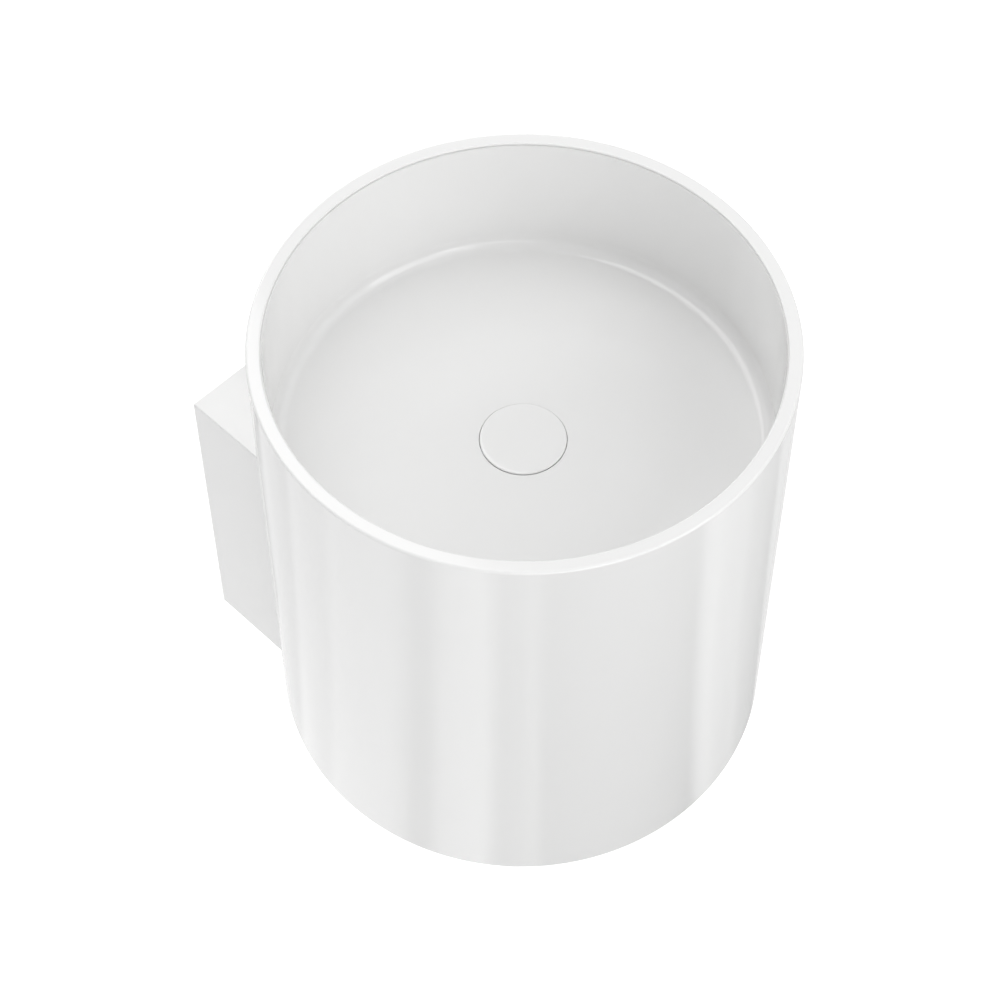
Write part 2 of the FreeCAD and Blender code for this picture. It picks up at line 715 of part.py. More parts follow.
def plug_insert():
    """The plug under the cap, grooved for the ring seal and bored for the stem."""
    groove_low = "seal_middle - seal_section / 2 - groove_play"
    groove_high = "seal_middle + seal_section / 2 + groove_play"
    bore = "stem_radius + thread_gap"
    keep(
        "plug_insert",
        on_drum_axis(
            "insert",
            [
                (bore, "insert_under"),
                ("insert_radius", "insert_under"),
                ("insert_radius", groove_low),
                ("groove_radius", groove_low),
                ("groove_radius", groove_high),
                ("insert_radius", groove_high),
                ("insert_radius", "cap_under"),
                (bore, "cap_under"),
            ],
        ),
    )


def plug_seal():
    """The round rubber ring that closes the throat."""
    seal = doc.addObject("Part::Torus", "seal_ring")
    bind(seal, Radius1="seal_outside - seal_section / 2", Radius2="seal_section / 2")
    keep("plug_seal", place(seal, into="drum_axis", up="seal_middle"))


def plunger_stem():
    """The stem that the cap screws onto, with the collar that the spring pushes."""
    collar = "cartridge_bore - stem_fit"
    keep(
        "plunger_stem",
        on_drum_axis(
            "stem",
            [
                ("0", "collar_under"),
                (collar, "collar_under"),
                (collar, "collar_top"),
                ("stem_radius", "collar_top"),
                ("stem_radius", "cap_under - stem_sink"),
                ("0", "cap_under - stem_sink"),
            ],
        ),
    )


def plunger_spring():
    """The coil spring under the stem."""
    path = doc.addObject("Part::Helix", "spring_path")
    rise = "spring_length - spring_wire"
    bind(path, Pitch=f"({rise}) / spring_turns", Height=rise, Radius="spring_radius")
    place(path, into="drum_axis", up="spring_foot + spring_wire / 2")
    wire = doc.addObject("Part::Circle", "spring_section")
    wire.Placement = FreeCAD.Placement(FreeCAD.Vector(), SOUTH)
    bind(wire, Radius="spring_wire / 2")
    place(wire, "spring_radius", "drum_axis", "spring_foot + spring_wire / 2")
    doc.recompute()
    coil = doc.addObject("Part::Sweep", "spring_coil")
    coil.Sections = [wire]
    coil.Spine = (path, [f"Edge{index + 1}" for index in range(len(path.Shape.Edges))])
    coil.Solid = True
    coil.Frenet = True
    keep("plunger_spring", coil)


def cartridge():
    """The barrel that guides the stem and holds the spring, with its threaded end."""
    keep(
        "cartridge",
        on_drum_axis(
            "barrel",
            [
                ("0", "cross_under - stub_end"),
                ("cross_stub / 2", "cross_under - stub_end"),
                ("cross_stub / 2", "cartridge_foot"),
                ("cartridge_diameter / 2", "cartridge_foot"),
                ("cartridge_diameter / 2", "cartridge_top"),
                ("stem_radius + stem_fit", "cartridge_top"),
                ("stem_radius + stem_fit", "cartridge_lid"),
                ("cartridge_bore", "cartridge_lid"),
                ("cartridge_bore", "spring_foot"),
                ("0", "spring_foot"),
            ],
        ),
    )


def waste_body():
    """The flanged waste with its threaded tail, and the cross inside that carries the cartridge."""
    tube = on_drum_axis(
        "waste_tube",
        [
            ("throat_radius", "tail_end"),
            ("thread_radius", "tail_end"),
            ("thread_radius", "flange_under"),
            ("flange_radius", "flange_under"),
            ("flange_radius", "flange_top"),
            ("throat_radius", "flange_top", "throat_round"),
        ],
    )
    parts = [tube, rod("cross_boss", "cross_hub / 2", "cross_height", up="cross_under")]
    middle_of_wall = "(throat_radius + thread_radius) / 2"
    for index in range(3):
        arm = padded(
            f"cross_arm_{index}",
            "XY_Plane",
            [
                ("0", "-cross_arm / 2"),
                (middle_of_wall, "-cross_arm / 2"),
                (middle_of_wall, "cross_arm / 2"),
                ("0", "cross_arm / 2"),
            ],
            "cross_height",
        )
        arm.Placement = FreeCAD.Placement(
            FreeCAD.Vector(), FreeCAD.Rotation(FreeCAD.Vector(0, 0, 1), index * 120)
        )
        parts.append(place(arm, into="drum_axis", up="cross_under"))
    tap = rod("cross_tap", "cross_stub / 2 + thread_gap", "cross_height", up="cross_under")
    keep("waste_body", cut("waste_cut", joined("waste_whole", parts), [tap]))


def waste_clamp():
    """What clamps the waste in the bowl: a gasket above, two washers and the back nut below."""
    gasket = ring("gasket_above", "flange_radius", "waste_hole / 2", "recess_floor", "flange_under")
    keep("flange_gasket", gasket)
    width = ("washer_outside / 2", "thread_radius + washer_gap")
    keep("cup_washer", ring("washer_cup", *width, "cup_washer_under", "boss_under"))
    keep("slip_washer", ring("washer_slip", *width, "slip_washer_under", "cup_washer_under"))
    blank = hexagon("back_nut_hex", "back_nut_flats", "back_nut_height", up="back_nut_under")
    tap = rod("back_nut_tap", "nut_bore", "back_nut_height", up="back_nut_under")
    keep("back_nut", cut("back_nut_cut", blank, [tap]))


def round_nut_outline(thread_end, shoulder, shoulder_end):
    """A round union nut: thread from one end to the shoulder, and a hole for the pipe past it."""
    return [
        ("nut_bore", thread_end),
        ("nut_radius", thread_end, "nut_round"),
        ("nut_radius", shoulder_end, "nut_round"),
        ("neck_bore", shoulder_end),
        ("neck_bore", shoulder),
        ("nut_bore", shoulder),
    ]


def inlet_joint():
    """Inlet pipe under the waste: its collar, gasket and union nut. Its end dips into the trap."""
    keep("inlet_gasket", ring("gasket_inlet", "pipe_collar / 2", "pipe_bore", "pipe_top", "tail_end"))
    keep(
        "inlet_pipe",
        on_drum_axis(
            "pipe_inlet",
            [
                ("pipe_bore", "pipe_end"),
                ("pipe_radius", "pipe_end"),
                ("pipe_radius", "pipe_collar_under"),
                ("pipe_collar / 2", "pipe_collar_under"),
                ("pipe_collar / 2", "pipe_top"),
                ("pipe_bore", "pipe_top"),
            ],
        ),
    )
    shoulder = "pipe_collar_under"
    outline = round_nut_outline("tail_end + nut_grip", shoulder, f"{shoulder} - nut_shoulder")
    keep("inlet_nut", on_drum_axis("nut_inlet", outline))


def trap_head():
    """The trap's head: a threaded neck above, a threaded neck to the wall, and the water's way."""
    outside = on_drum_axis(
        "head_outside",
        [
            ("0", "head_under"),
            ("trap_radius", "head_under"),
            ("trap_radius", "head_top", "trap_round"),
            ("thread_radius", "head_top"),
            ("thread_radius", "neck_top"),
            ("0", "neck_top"),
        ],
    )
    side = rod("head_side", "thread_radius", "neck_reach", up="outlet_height", rotation=SOUTH)
    cavity = rod("head_cavity", "cavity_radius", "head_top - trap_wall - head_under", up="head_under")
    inlet = rod("head_inlet", "neck_bore", "neck_top - head_under", up="head_under")
    outlet = rod("head_outlet", "neck_bore", "neck_reach", up="outlet_height", rotation=SOUTH)
    keep("trap_head", cut("head_cut", joined("head_whole", [outside, side]), [cavity, inlet, outlet]))


def neck_joint():
    """Seal and nut that hold the inlet pipe in the trap's neck."""
    seal_top = "neck_top + ring_seal"
    keep("neck_seal", ring("seal_neck", "thread_radius - pipe_gap", "pipe_radius", "neck_top", seal_top))
    outline = round_nut_outline("neck_top - nut_grip", seal_top, f"{seal_top} + nut_shoulder")
    keep("neck_nut", on_drum_axis("nut_neck", outline))


def outlet_joint():
    """The outlet pipe into the wall, with the seal and nut that hold it in the trap."""
    seal_end = "neck_end + ring_seal"
    keep(
        "outlet_seal",
        on_outlet_axis(
            "seal_outlet",
            [
                ("pipe_radius", "neck_end"),
                ("thread_radius - pipe_gap", "neck_end"),
                ("thread_radius - pipe_gap", seal_end),
                ("pipe_radius", seal_end),
            ],
        ),
    )
    outline = round_nut_outline("neck_end - nut_grip", seal_end, f"{seal_end} + nut_shoulder")
    keep("outlet_nut", on_outlet_axis("nut_outlet", outline))
    keep(
        "outlet_pipe",
        on_outlet_axis(
            "pipe_outlet",
            [
                ("pipe_bore", "neck_end - nut_grip"),
                ("pipe_radius", "neck_end - nut_grip"),
                ("pipe_radius", "-bead_offset - bead_width"),
                ("bead_diameter / 2", "-bead_offset - bead_width"),
                ("bead_diameter / 2", "-bead_offset"),
                ("pipe_radius", "-bead_offset"),
                ("pipe_radius", "wall_entry"),
                ("pipe_bore", "wall_entry"),
            ],
        ),
    )


def trap_cup():
    """The cup that screws up onto the trap's head, and the gasket between them."""
    keep("cup_gasket", ring("gasket_cup", "trap_radius", "cavity_radius", "cup_ledge", "head_under"))
    collar_low = "head_under - cup_collar_height / 2"
    collar_high = "head_under + cup_collar_height / 2"
    keep(
        "trap_cup",
        on_drum_axis(
            "cup",
            [
                ("0", "cup_under"),
                ("trap_radius", "cup_under", "cup_round"),
                ("trap_radius", collar_low),
                ("cup_bore + cup_collar_wall", collar_low, "nut_round"),
                ("cup_bore + cup_collar_wall", collar_high, "nut_round"),
                ("cup_bore", collar_high),
                ("cup_bore", "cup_ledge"),
                ("cavity_radius", "cup_ledge"),
                ("cavity_radius", "cup_under + trap_wall", "cup_round - trap_wall"),
                ("0", "cup_under + trap_wall"),
            ],
        ),
    )


def build():
    """Make every piece, in the order in which they would be put together."""
    drum_shell()
    bowl()
    wall_box()
    wall_bracket()
    hanger_plate()
    for side in ("left", "right"):
        saddle_block(side)
        clamp_block(side)
    hanger_fasteners()
    lock_screws()
    waste_body()
    waste_clamp()
    cartridge()
    plunger_spring()
    plunger_stem()
    plug_insert()
    plug_seal()
    waste_cap()
    inlet_joint()
    trap_head()
    neck_joint()
    trap_cup()
    outlet_joint()


def check():
    """Stop if any object failed, or if a piece has no sound solid."""
    for thing in doc.Objects:
        if "Invalid" in thing.State or "Error" in thing.State:
            raise RuntimeError(f"{thing.Label} failed: {thing.State}")
    for piece in pieces:
        shape = piece.Shape
        if shape.isNull() or not shape.isValid() or not shape.Solids:
            raise RuntimeError(f"{piece.Label} is not a sound solid")


def write():
    """Write each piece to its own file."""
    os.makedirs("parts", exist_ok=True)
    for piece in pieces:
        piece.Shape.exportStep(os.path.join("parts", f"{piece.Label}.step"))
        print(f"{piece.Label}: {len(piece.Shape.Solids)} solid(s), {piece.Shape.Volume / 1000:.2f} cm3")


fill_sheet()
build()
doc.recompute()
check()
write()
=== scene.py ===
import logging
import math
from collections.abc import Callable, Mapping, Sequence
from dataclasses import dataclass, field
from enum import Enum

import bpy
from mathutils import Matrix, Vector


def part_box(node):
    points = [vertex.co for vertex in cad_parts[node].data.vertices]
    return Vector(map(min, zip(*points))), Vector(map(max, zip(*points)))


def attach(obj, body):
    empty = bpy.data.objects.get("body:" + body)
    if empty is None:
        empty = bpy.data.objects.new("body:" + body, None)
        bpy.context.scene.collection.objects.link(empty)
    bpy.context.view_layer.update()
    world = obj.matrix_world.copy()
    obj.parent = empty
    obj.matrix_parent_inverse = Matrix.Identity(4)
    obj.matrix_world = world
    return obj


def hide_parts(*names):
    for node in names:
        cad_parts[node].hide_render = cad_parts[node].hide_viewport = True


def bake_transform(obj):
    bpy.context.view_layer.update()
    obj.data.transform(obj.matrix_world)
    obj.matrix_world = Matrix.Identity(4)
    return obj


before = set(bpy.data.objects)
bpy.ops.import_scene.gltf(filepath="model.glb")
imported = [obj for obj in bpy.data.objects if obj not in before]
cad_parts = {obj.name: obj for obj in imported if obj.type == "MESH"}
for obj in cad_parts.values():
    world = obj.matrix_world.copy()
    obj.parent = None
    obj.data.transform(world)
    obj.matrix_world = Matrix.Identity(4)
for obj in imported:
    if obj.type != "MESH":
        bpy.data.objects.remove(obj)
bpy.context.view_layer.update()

UP = Vector((0.0, 0.0, 1.0))
TO_WALL = Vector((0.0, 1.0, 0.0))
SMOOTH_ANGLE = math.radians(32)
# All lengths are in metres: a straight side's first and last steps, the radius at which a turned
# section closes, and how far a drill starts outside its surface.
SHORT_STEP = 0.0004
NEAR_AXIS = 0.0001
OVERSHOOT = 0.001
# How steeply a thread's flanks and a hand nut's flutes run in.
THREAD_SLOPE = 2.6
FLUTE_SLOPE = 6

Colour = tuple[float, float, float]
Place = tuple[float, float, float]
Point = tuple[float, float]
Shape = Callable[[float, float, float], float]

log = logging.getLogger("basin")


class Body(Enum):
    """The two bodies of the basin's model."""

    BASIN = "basin"
    PLUG = "plug"


class Slot(Enum):
    """Names of the material slots that new pieces are given, though nothing reads them."""

    WHITE_GLAZE = "white_glaze"
    WHITE_CAP = "white_cap"
    BOLT_STEEL = "bolt_steel"
    CHROME = "chrome"
    BRASS = "brass"


# ---------------- shader wiring


def operator(operation: str, swapped: bool = False) -> Callable[["Wire", "Value"], "Wire"]:
    """Make one of Python's operators add a Math node.

    Args:
        operation: the node's operation.
        swapped: True where the other value comes first.

    Returns:
        The operator's method.
    """

    def joined(wire: "Wire", other: "Value") -> "Wire":
        """The node's value."""
        return wire.graph.math(operation, *((other, wire) if swapped else (wire, other)))

    return joined


@dataclass(frozen=True, eq=False)
class Wire:
    """A socket's value, on which Python's operators add Math nodes. Masks are 0 or 1."""

    graph: "Graph"
    socket: bpy.types.NodeSocket

    __add__ = __radd__ = operator("ADD")
    __sub__, __rsub__ = operator("SUBTRACT"), operator("SUBTRACT", swapped=True)
    __mul__ = __rmul__ = operator("MULTIPLY")
    __lt__, __gt__ = operator("LESS_THAN"), operator("GREATER_THAN")
    __or__, __and__ = operator("MAXIMUM"), operator("MINIMUM")

    def __abs__(self) -> "Wire":
        """This value without its sign."""
        return self.graph.math("ABSOLUTE", self)


Value = Wire | float | int


class Graph:
    """The node tree of a material or the world."""

    def __init__(self, owner: bpy.types.Material | bpy.types.World) -> None:
        """Empty the owner's tree.

        Args:
            owner: the material or the world.
        """
        owner.use_nodes = True
        self.tree = owner.node_tree
        self.tree.nodes.clear()

    def node(
        self,
        kind: str,
        settings: Mapping[str, object] | None = None,
        sockets: Mapping[str | int, object] | None = None,
    ) -> bpy.types.Node:
        """Add one node.

        Args:
            kind: the node's type, without the words ShaderNode.
            settings: its own settings, which are set first.
            sockets: the value or link of each named or numbered input.

        Returns:
            The new node.
        """
        node = self.tree.nodes.new(f"ShaderNode{kind}")
        for name, value in (settings or {}).items():
            setattr(node, name, value)
        for key, value in (sockets or {}).items():
            if isinstance(value, Wire):
                self.tree.links.new(value.socket, node.inputs[key])
            else:
                node.inputs[key].default_value = value
        return node

    def out(self, node: bpy.types.Node, name: str | int = 0) -> Wire:
        """One output of a node."""
        return Wire(self, node.outputs[name])

    def math(self, operation: str, *values: Value) -> Wire:
        """A Math node on one, two or three values."""
        return self.out(self.node("Math", {"operation": operation}, dict(enumerate(values))))

    def place(self) -> Wire:
        """The point in the row frame, because every piece's origin is the frame's."""
        return self.out(self.node("TexCoord"), "Object")

    def parts(self, vector: Wire) -> tuple[Wire, Wire, Wire]:
        """The X, Y and Z of a vector."""
        split = self.node("SeparateXYZ", sockets={0: vector})
        return self.out(split, 0), self.out(split, 1), self.out(split, 2)

    def reach(self, vector: Wire, axis: Vector) -> Wire:
        """How far a point is from an upright axis."""
        ends = {0: self.stretched(vector, 1.0, 1.0, 0.0), 1: (axis.x, axis.y, 0.0)}
        return self.out(self.node("VectorMath", {"operation": "DISTANCE"}, ends), "Value")

    def stretched(self, vector: Wire, x: float, y: float, z: float) -> Wire:
        """A point scaled apart on each axis, for a grain that runs one way."""
        return self.out(self.node("VectorMath", {"operation": "MULTIPLY"}, {0: vector, 1: (x, y, z)}))

    def noise(self, vector: Wire, size: float, detail: float = 2.0, rough: float = 0.5) -> Wire:
        """Cloudy noise from 0 to 1, with clouds about as wide as size in metres and finer layers in them."""
        sockets = {"Vector": vector, "Scale": 1 / size, "Detail": detail, "Roughness": rough}
        return self.out(self.node("TexNoise", sockets=sockets), "Fac")

    def cells(self, vector: Wire, size: float) -> Wire:
        """A grey for each cell of a crystal pattern, with cells about as wide as size in metres."""
        return self.out(self.node("TexVoronoi", sockets={"Vector": vector, "Scale": 1 / size}), "Color")

    def step(self, value: Wire, low: float, high: float) -> Wire:
        """0 under low, 1 over high and an even slope between them."""
        sockets = {"Value": value, "From Min": low, "From Max": high}
        return self.out(self.node("MapRange", {"clamp": True}, sockets))

    def mix(self, factor: Value, first: Colour | Wire, second: Colour | Wire) -> Wire:
        """A colour between two colours."""
        sockets = {0: factor, 6: self.rgba(first), 7: self.rgba(second)}
        return self.out(self.node("Mix", {"data_type": "RGBA"}, sockets), 2)

    def rgba(self, colour: Colour | Wire) -> object:
        """A colour as a socket takes it."""
        return colour if isinstance(colour, Wire) else (*colour, 1.0)

    def bump(self, height: Wire, depth: float, normal: Wire | None = None) -> Wire:
        """The normal of a surface that this height raises by up to depth metres."""
        under = {"Normal": normal} if normal else {}
        return self.out(self.node("Bump", sockets={"Height": height, "Distance": depth, **under}))

    def surface(self, **sockets: object) -> None:
        """End the graph in a Principled shader. An underscore in a name stands for a space."""
        named = {name.replace("_", " "): value for name, value in sockets.items()}
        self.end(self.node("BsdfPrincipled", sockets=named))

    def end(self, shader: bpy.types.Node, kind: str = "OutputMaterial") -> None:
        """End the graph in a shader."""
        self.node(kind, sockets={"Surface": self.out(shader)})


def toned(colour: Colour, share: float) -> Colour:
    """A colour, made lighter or darker by a share."""
    return tuple(min(1.0, part * share) for part in colour)


def in_scene(name: str, data: bpy.types.ID) -> bpy.types.Object:
    """Make an object and put it in the scene.

    Args:
        name: the object's name.
        data: its mesh, light or camera.

    Returns:
        The object.
    """
    made = bpy.data.objects.new(name, data)
    bpy.context.scene.collection.objects.link(made)
    return made


# ---------------- finishes


@dataclass(frozen=True)
class Finish:
    """What every finish has: a name and its material, made once."""

    name: str

    def wire(self, graph: Graph) -> None:
        """Draw the finish's nodes."""
        raise NotImplementedError

    def material(self) -> bpy.types.Material:
        """Find the finish's material, or make it.

        Returns:
            The material.
        """
        found = bpy.data.materials.get(self.name)
        if not found:
            found = bpy.data.materials.new(self.name)
            self.wire(Graph(found))
        return found


Mask = Callable[[Graph, Wire], Wire]


@dataclass(frozen=True)
class Glaze(Finish):
    """Gloss white glaze on a fired body that is left bare where a mask says so."""

    colour: Colour = (0.9, 0.9, 0.896)
    bare_colour: Colour = (0.8, 0.785, 0.755)
    roughness: float = 0.11
    bare_roughness: float = 0.72
    wave: float = 0.06
    wave_depth: float = 0.00004
    peel: float = 0.0016
    peel_depth: float = 0.0000025
    coat: float = 0.35
    coat_roughness: float = 0.05
    bare: Mask | None = None
    # Grey of the glue line in the lip's groove: partly the glue's own colour, partly painted shade in the
    # groove.
    joint_and_shade_colour: Colour = (0.8, 0.8, 0.795)
    joint_and_shade: Mask | None = None

    def wire(self, graph: Graph) -> None:
        """Draw the glaze: slow waves, fine peel, faint clouding, a sanded look where it is bare, and a grey
        of glue and painted shade where the second mask says so.

        Args:
            graph: the material's graph, still empty.
        """
        place = graph.place()
        wave = graph.noise(place, self.wave, detail=1.0)
        peel = graph.noise(place, self.peel, detail=2.0)
        cloud = graph.noise(place, self.wave * 2, detail=4.0)
        colour = graph.mix(cloud, toned(self.colour, 0.988), toned(self.colour, 1.008))
        roughness = self.roughness + 0.03 * (cloud - 0.5) + 0.02 * (peel - 0.5)
        coat: Value = 1.0
        if self.bare:
            bare = self.bare(graph, place)
            grit = graph.noise(place, self.peel / 2, detail=3.0)
            sanded = graph.mix(grit, toned(self.bare_colour, 0.93), self.bare_colour)
            colour = graph.mix(bare, colour, sanded)
            roughness = roughness * (1 - bare) + self.bare_roughness * bare
            coat = 1 - bare
        # Where the second mask says so, grey for the glue line: partly its own colour, partly painted shade
        # in the groove.
        if self.joint_and_shade:
            joint_and_shade = self.joint_and_shade(graph, place)
            colour = graph.mix(joint_and_shade, colour, self.joint_and_shade_colour)
            roughness = roughness + (self.bare_roughness - self.roughness) * joint_and_shade
            coat = coat * (1 - joint_and_shade)
        normal = graph.bump(wave, self.wave_depth)
        normal = graph.bump(peel, self.peel_depth, normal)
        coating = {"Coat_Weight": coat * self.coat, "Coat_Roughness": self.coat_roughness}
        graph.surface(Base_Color=colour, Roughness=roughness, IOR=1.5, **coating, Normal=normal)


@dataclass(frozen=True)
class Plating(Finish):
    """Polished plating, with the faint smears of handling."""

    colour: Colour = (0.74, 0.75, 0.77)
    roughness: float = 0.05
    smear: float = 0.03
    draw_depth: float = 0.000004

    def wire(self, graph: Graph) -> None:
        """Draw the plating: smears in the gloss, and rings left by turning.

        Args:
            graph: the material's graph, still empty.
        """
        place = graph.place()
        smear = graph.noise(place, self.smear, detail=5.0, rough=0.6)
        rings = graph.noise(graph.stretched(place, 0.02, 0.02, 1.0), 0.0004, detail=2.0)
        colour = graph.mix(smear, toned(self.colour, 0.94), self.colour)
        roughness = self.roughness + 0.1 * graph.step(smear, 0.45, 0.8) + 0.02 * rings
        normal = graph.bump(rings, self.draw_depth)
        graph.surface(Base_Color=colour, Metallic=1.0, Roughness=roughness, Normal=normal)


@dataclass(frozen=True)
class Galvanised(Finish):
    """Rolled steel sheet under zinc, with its crystals."""

    colour: Colour = (0.62, 0.635, 0.65)
    crystal: float = 0.009
    roughness: float = 0.34
    streak_depth: float = 0.000012

    def wire(self, graph: Graph) -> None:
        """Draw the zinc: grey crystals, rolling streaks and dull patches.

        Args:
            graph: the material's graph, still empty.
        """
        place = graph.place()
        crystal = graph.cells(place, self.crystal)
        streak = graph.noise(graph.stretched(place, 0.05, 1.0, 1.0), 0.0012, detail=3.0)
        dull = graph.noise(place, 0.05, detail=4.0)
        colour = graph.mix(crystal, toned(self.colour, 0.8), toned(self.colour, 1.12))
        roughness = self.roughness + 0.16 * (crystal - 0.5) + 0.18 * graph.step(dull, 0.4, 0.7)
        normal = graph.bump(streak, self.streak_depth)
        graph.surface(Base_Color=colour, Metallic=0.95, Roughness=roughness, Normal=normal)


@dataclass(frozen=True)
class BarMetal(Finish):
    """Metal turned or cut from bar: bolt steel or brass."""

    colour: Colour = (0.56, 0.56, 0.55)
    stain: Colour = (0.42, 0.4, 0.36)
    roughness: float = 0.27
    mark_depth: float = 0.000008

    def wire(self, graph: Graph) -> None:
        """Draw the metal: cutting marks along the turned faces, and a light stain.

        Args:
            graph: the material's graph, still empty.
        """
        place = graph.place()
        marks = graph.noise(graph.stretched(place, 0.06, 1.0, 0.06), 0.0005, detail=2.0)
        stain = graph.noise(place, 0.012, detail=4.0, rough=0.6)
        stained = graph.step(stain, 0.5, 0.85)
        colour = graph.mix(stained, self.colour, self.stain)
        roughness = self.roughness + 0.25 * stained + 0.08 * marks
        normal = graph.bump(marks, self.mark_depth)
        graph.surface(Base_Color=colour, Metallic=1.0, Roughness=roughness, Normal=normal)


@dataclass(frozen=True)
class Moulding(Finish):
    """Moulded plastic or rubber, with the texture of its mould."""

    colour: Colour = (0.2, 0.2, 0.21)
    bloom: Colour = (0.3, 0.3, 0.31)
    roughness: float = 0.5
    grain: float = 0.0007
    grain_depth: float = 0.00003

    def wire(self, graph: Graph) -> None:
        """Draw the moulding: fine grain, flow clouds and a pale bloom.

        Args:
            graph: the material's graph, still empty.
        """
        place = graph.place()
        grain = graph.noise(place, self.grain, detail=3.0)
        flow = graph.noise(graph.stretched(place, 1.0, 1.0, 0.3), 0.02, detail=3.0)
        bloom = graph.step(flow, 0.42, 0.85)
        colour = graph.mix(bloom, self.colour, self.bloom)
        roughness = self.roughness + 0.12 * (grain - 0.5) + 0.1 * bloom
        normal = graph.bump(grain, self.grain_depth)
        graph.surface(Base_Color=colour, Roughness=roughness, IOR=1.48, Normal=normal)


# ---------------- mesh making


def drum_axis() -> Vector:
    """A point on the drum's vertical axis, at the height of the frame's origin."""
    low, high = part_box("drum_shell")
    return Vector(((low.x + high.x) / 2, (low.y + high.y) / 2, 0.0))


def arc(centre: Point, radius: float, start: float, end: float, count: int = 6) -> list[Point]:
    """Points round a circle, from one direction to another in degrees from straight out, in so many steps."""
    turns = [math.radians(start + (end - start) * step / count) for step in range(count + 1)]
    return [(centre[0] + radius * math.cos(turn), centre[1] + radius * math.sin(turn)) for turn in turns]


def evenly(start: Point, end: Point, count: int) -> list[Point]:
    """Points along a straight line in so many steps, both ends among them."""
    (x, y), (far_x, far_y) = start, end
    return [(x + (far_x - x) * step / count, y + (far_y - y) * step / count) for step in range(count + 1)]


def spun(x: float, y: float, turn: float) -> Point:
    """A flat point, turned about the origin."""
    return x * math.cos(turn) - y * math.sin(turn), x * math.sin(turn) + y * math.cos(turn)


def rounded(corners: Sequence[tuple[float, ...]], steps: int = 8, longest: float = 0.02) -> list[Point]:
    """A closed section with rounded corners.

    Args:
        corners: (radius, height) of each corner, with the size of its rounding where it has one.
        steps: how many steps a rounding takes.
        longest: longest straight step, in metres.

    Returns:
        The section's points, in the corners' order.
    """
    points: list[Vector] = []
    for index, corner in enumerate(corners):
        here = Vector(corner[:2])
        size = corner[2] if len(corner) > 2 else 0.0
        if not size:
            points.append(here)
            continue
        back = (Vector(corners[index - 1][:2]) - here).normalized()
        onward = (Vector(corners[(index + 1) % len(corners)][:2]) - here).normalized()
        half = back.angle(onward) / 2
        centre = here + (back + onward).normalized() * (size / math.sin(half))
        first = here + back * (size / math.tan(half)) - centre
        last = here + onward * (size / math.tan(half)) - centre
        turn = first.angle_signed(last)
        for step in range(steps + 1):
            points.append(centre + Vector(spun(first.x, first.y, -turn * step / steps)))
    section: list[Point] = []
    for index, here in enumerate(points):
        section += stretch(here, points[(index + 1) % len(points)], longest)
    return section


def stretch(start: Vector, end: Vector, longest: float) -> list[Point]:
    """Points along a straight side, with short steps at its ends to keep a rounding's shading beside it.

    Args:
        start: where the side starts.
        end: where it ends, which isn't among the points.
        longest: longest step, in metres.

    Returns:
        The points.
    """
    length = (end - start).length
    if length < 6 * SHORT_STEP:
        return [tuple(start)]
    lead = (end - start) * (SHORT_STEP / length)
    count = max(1, math.ceil(length / longest))
    return [tuple(start), *evenly(tuple(start + lead), tuple(end - lead), count)]


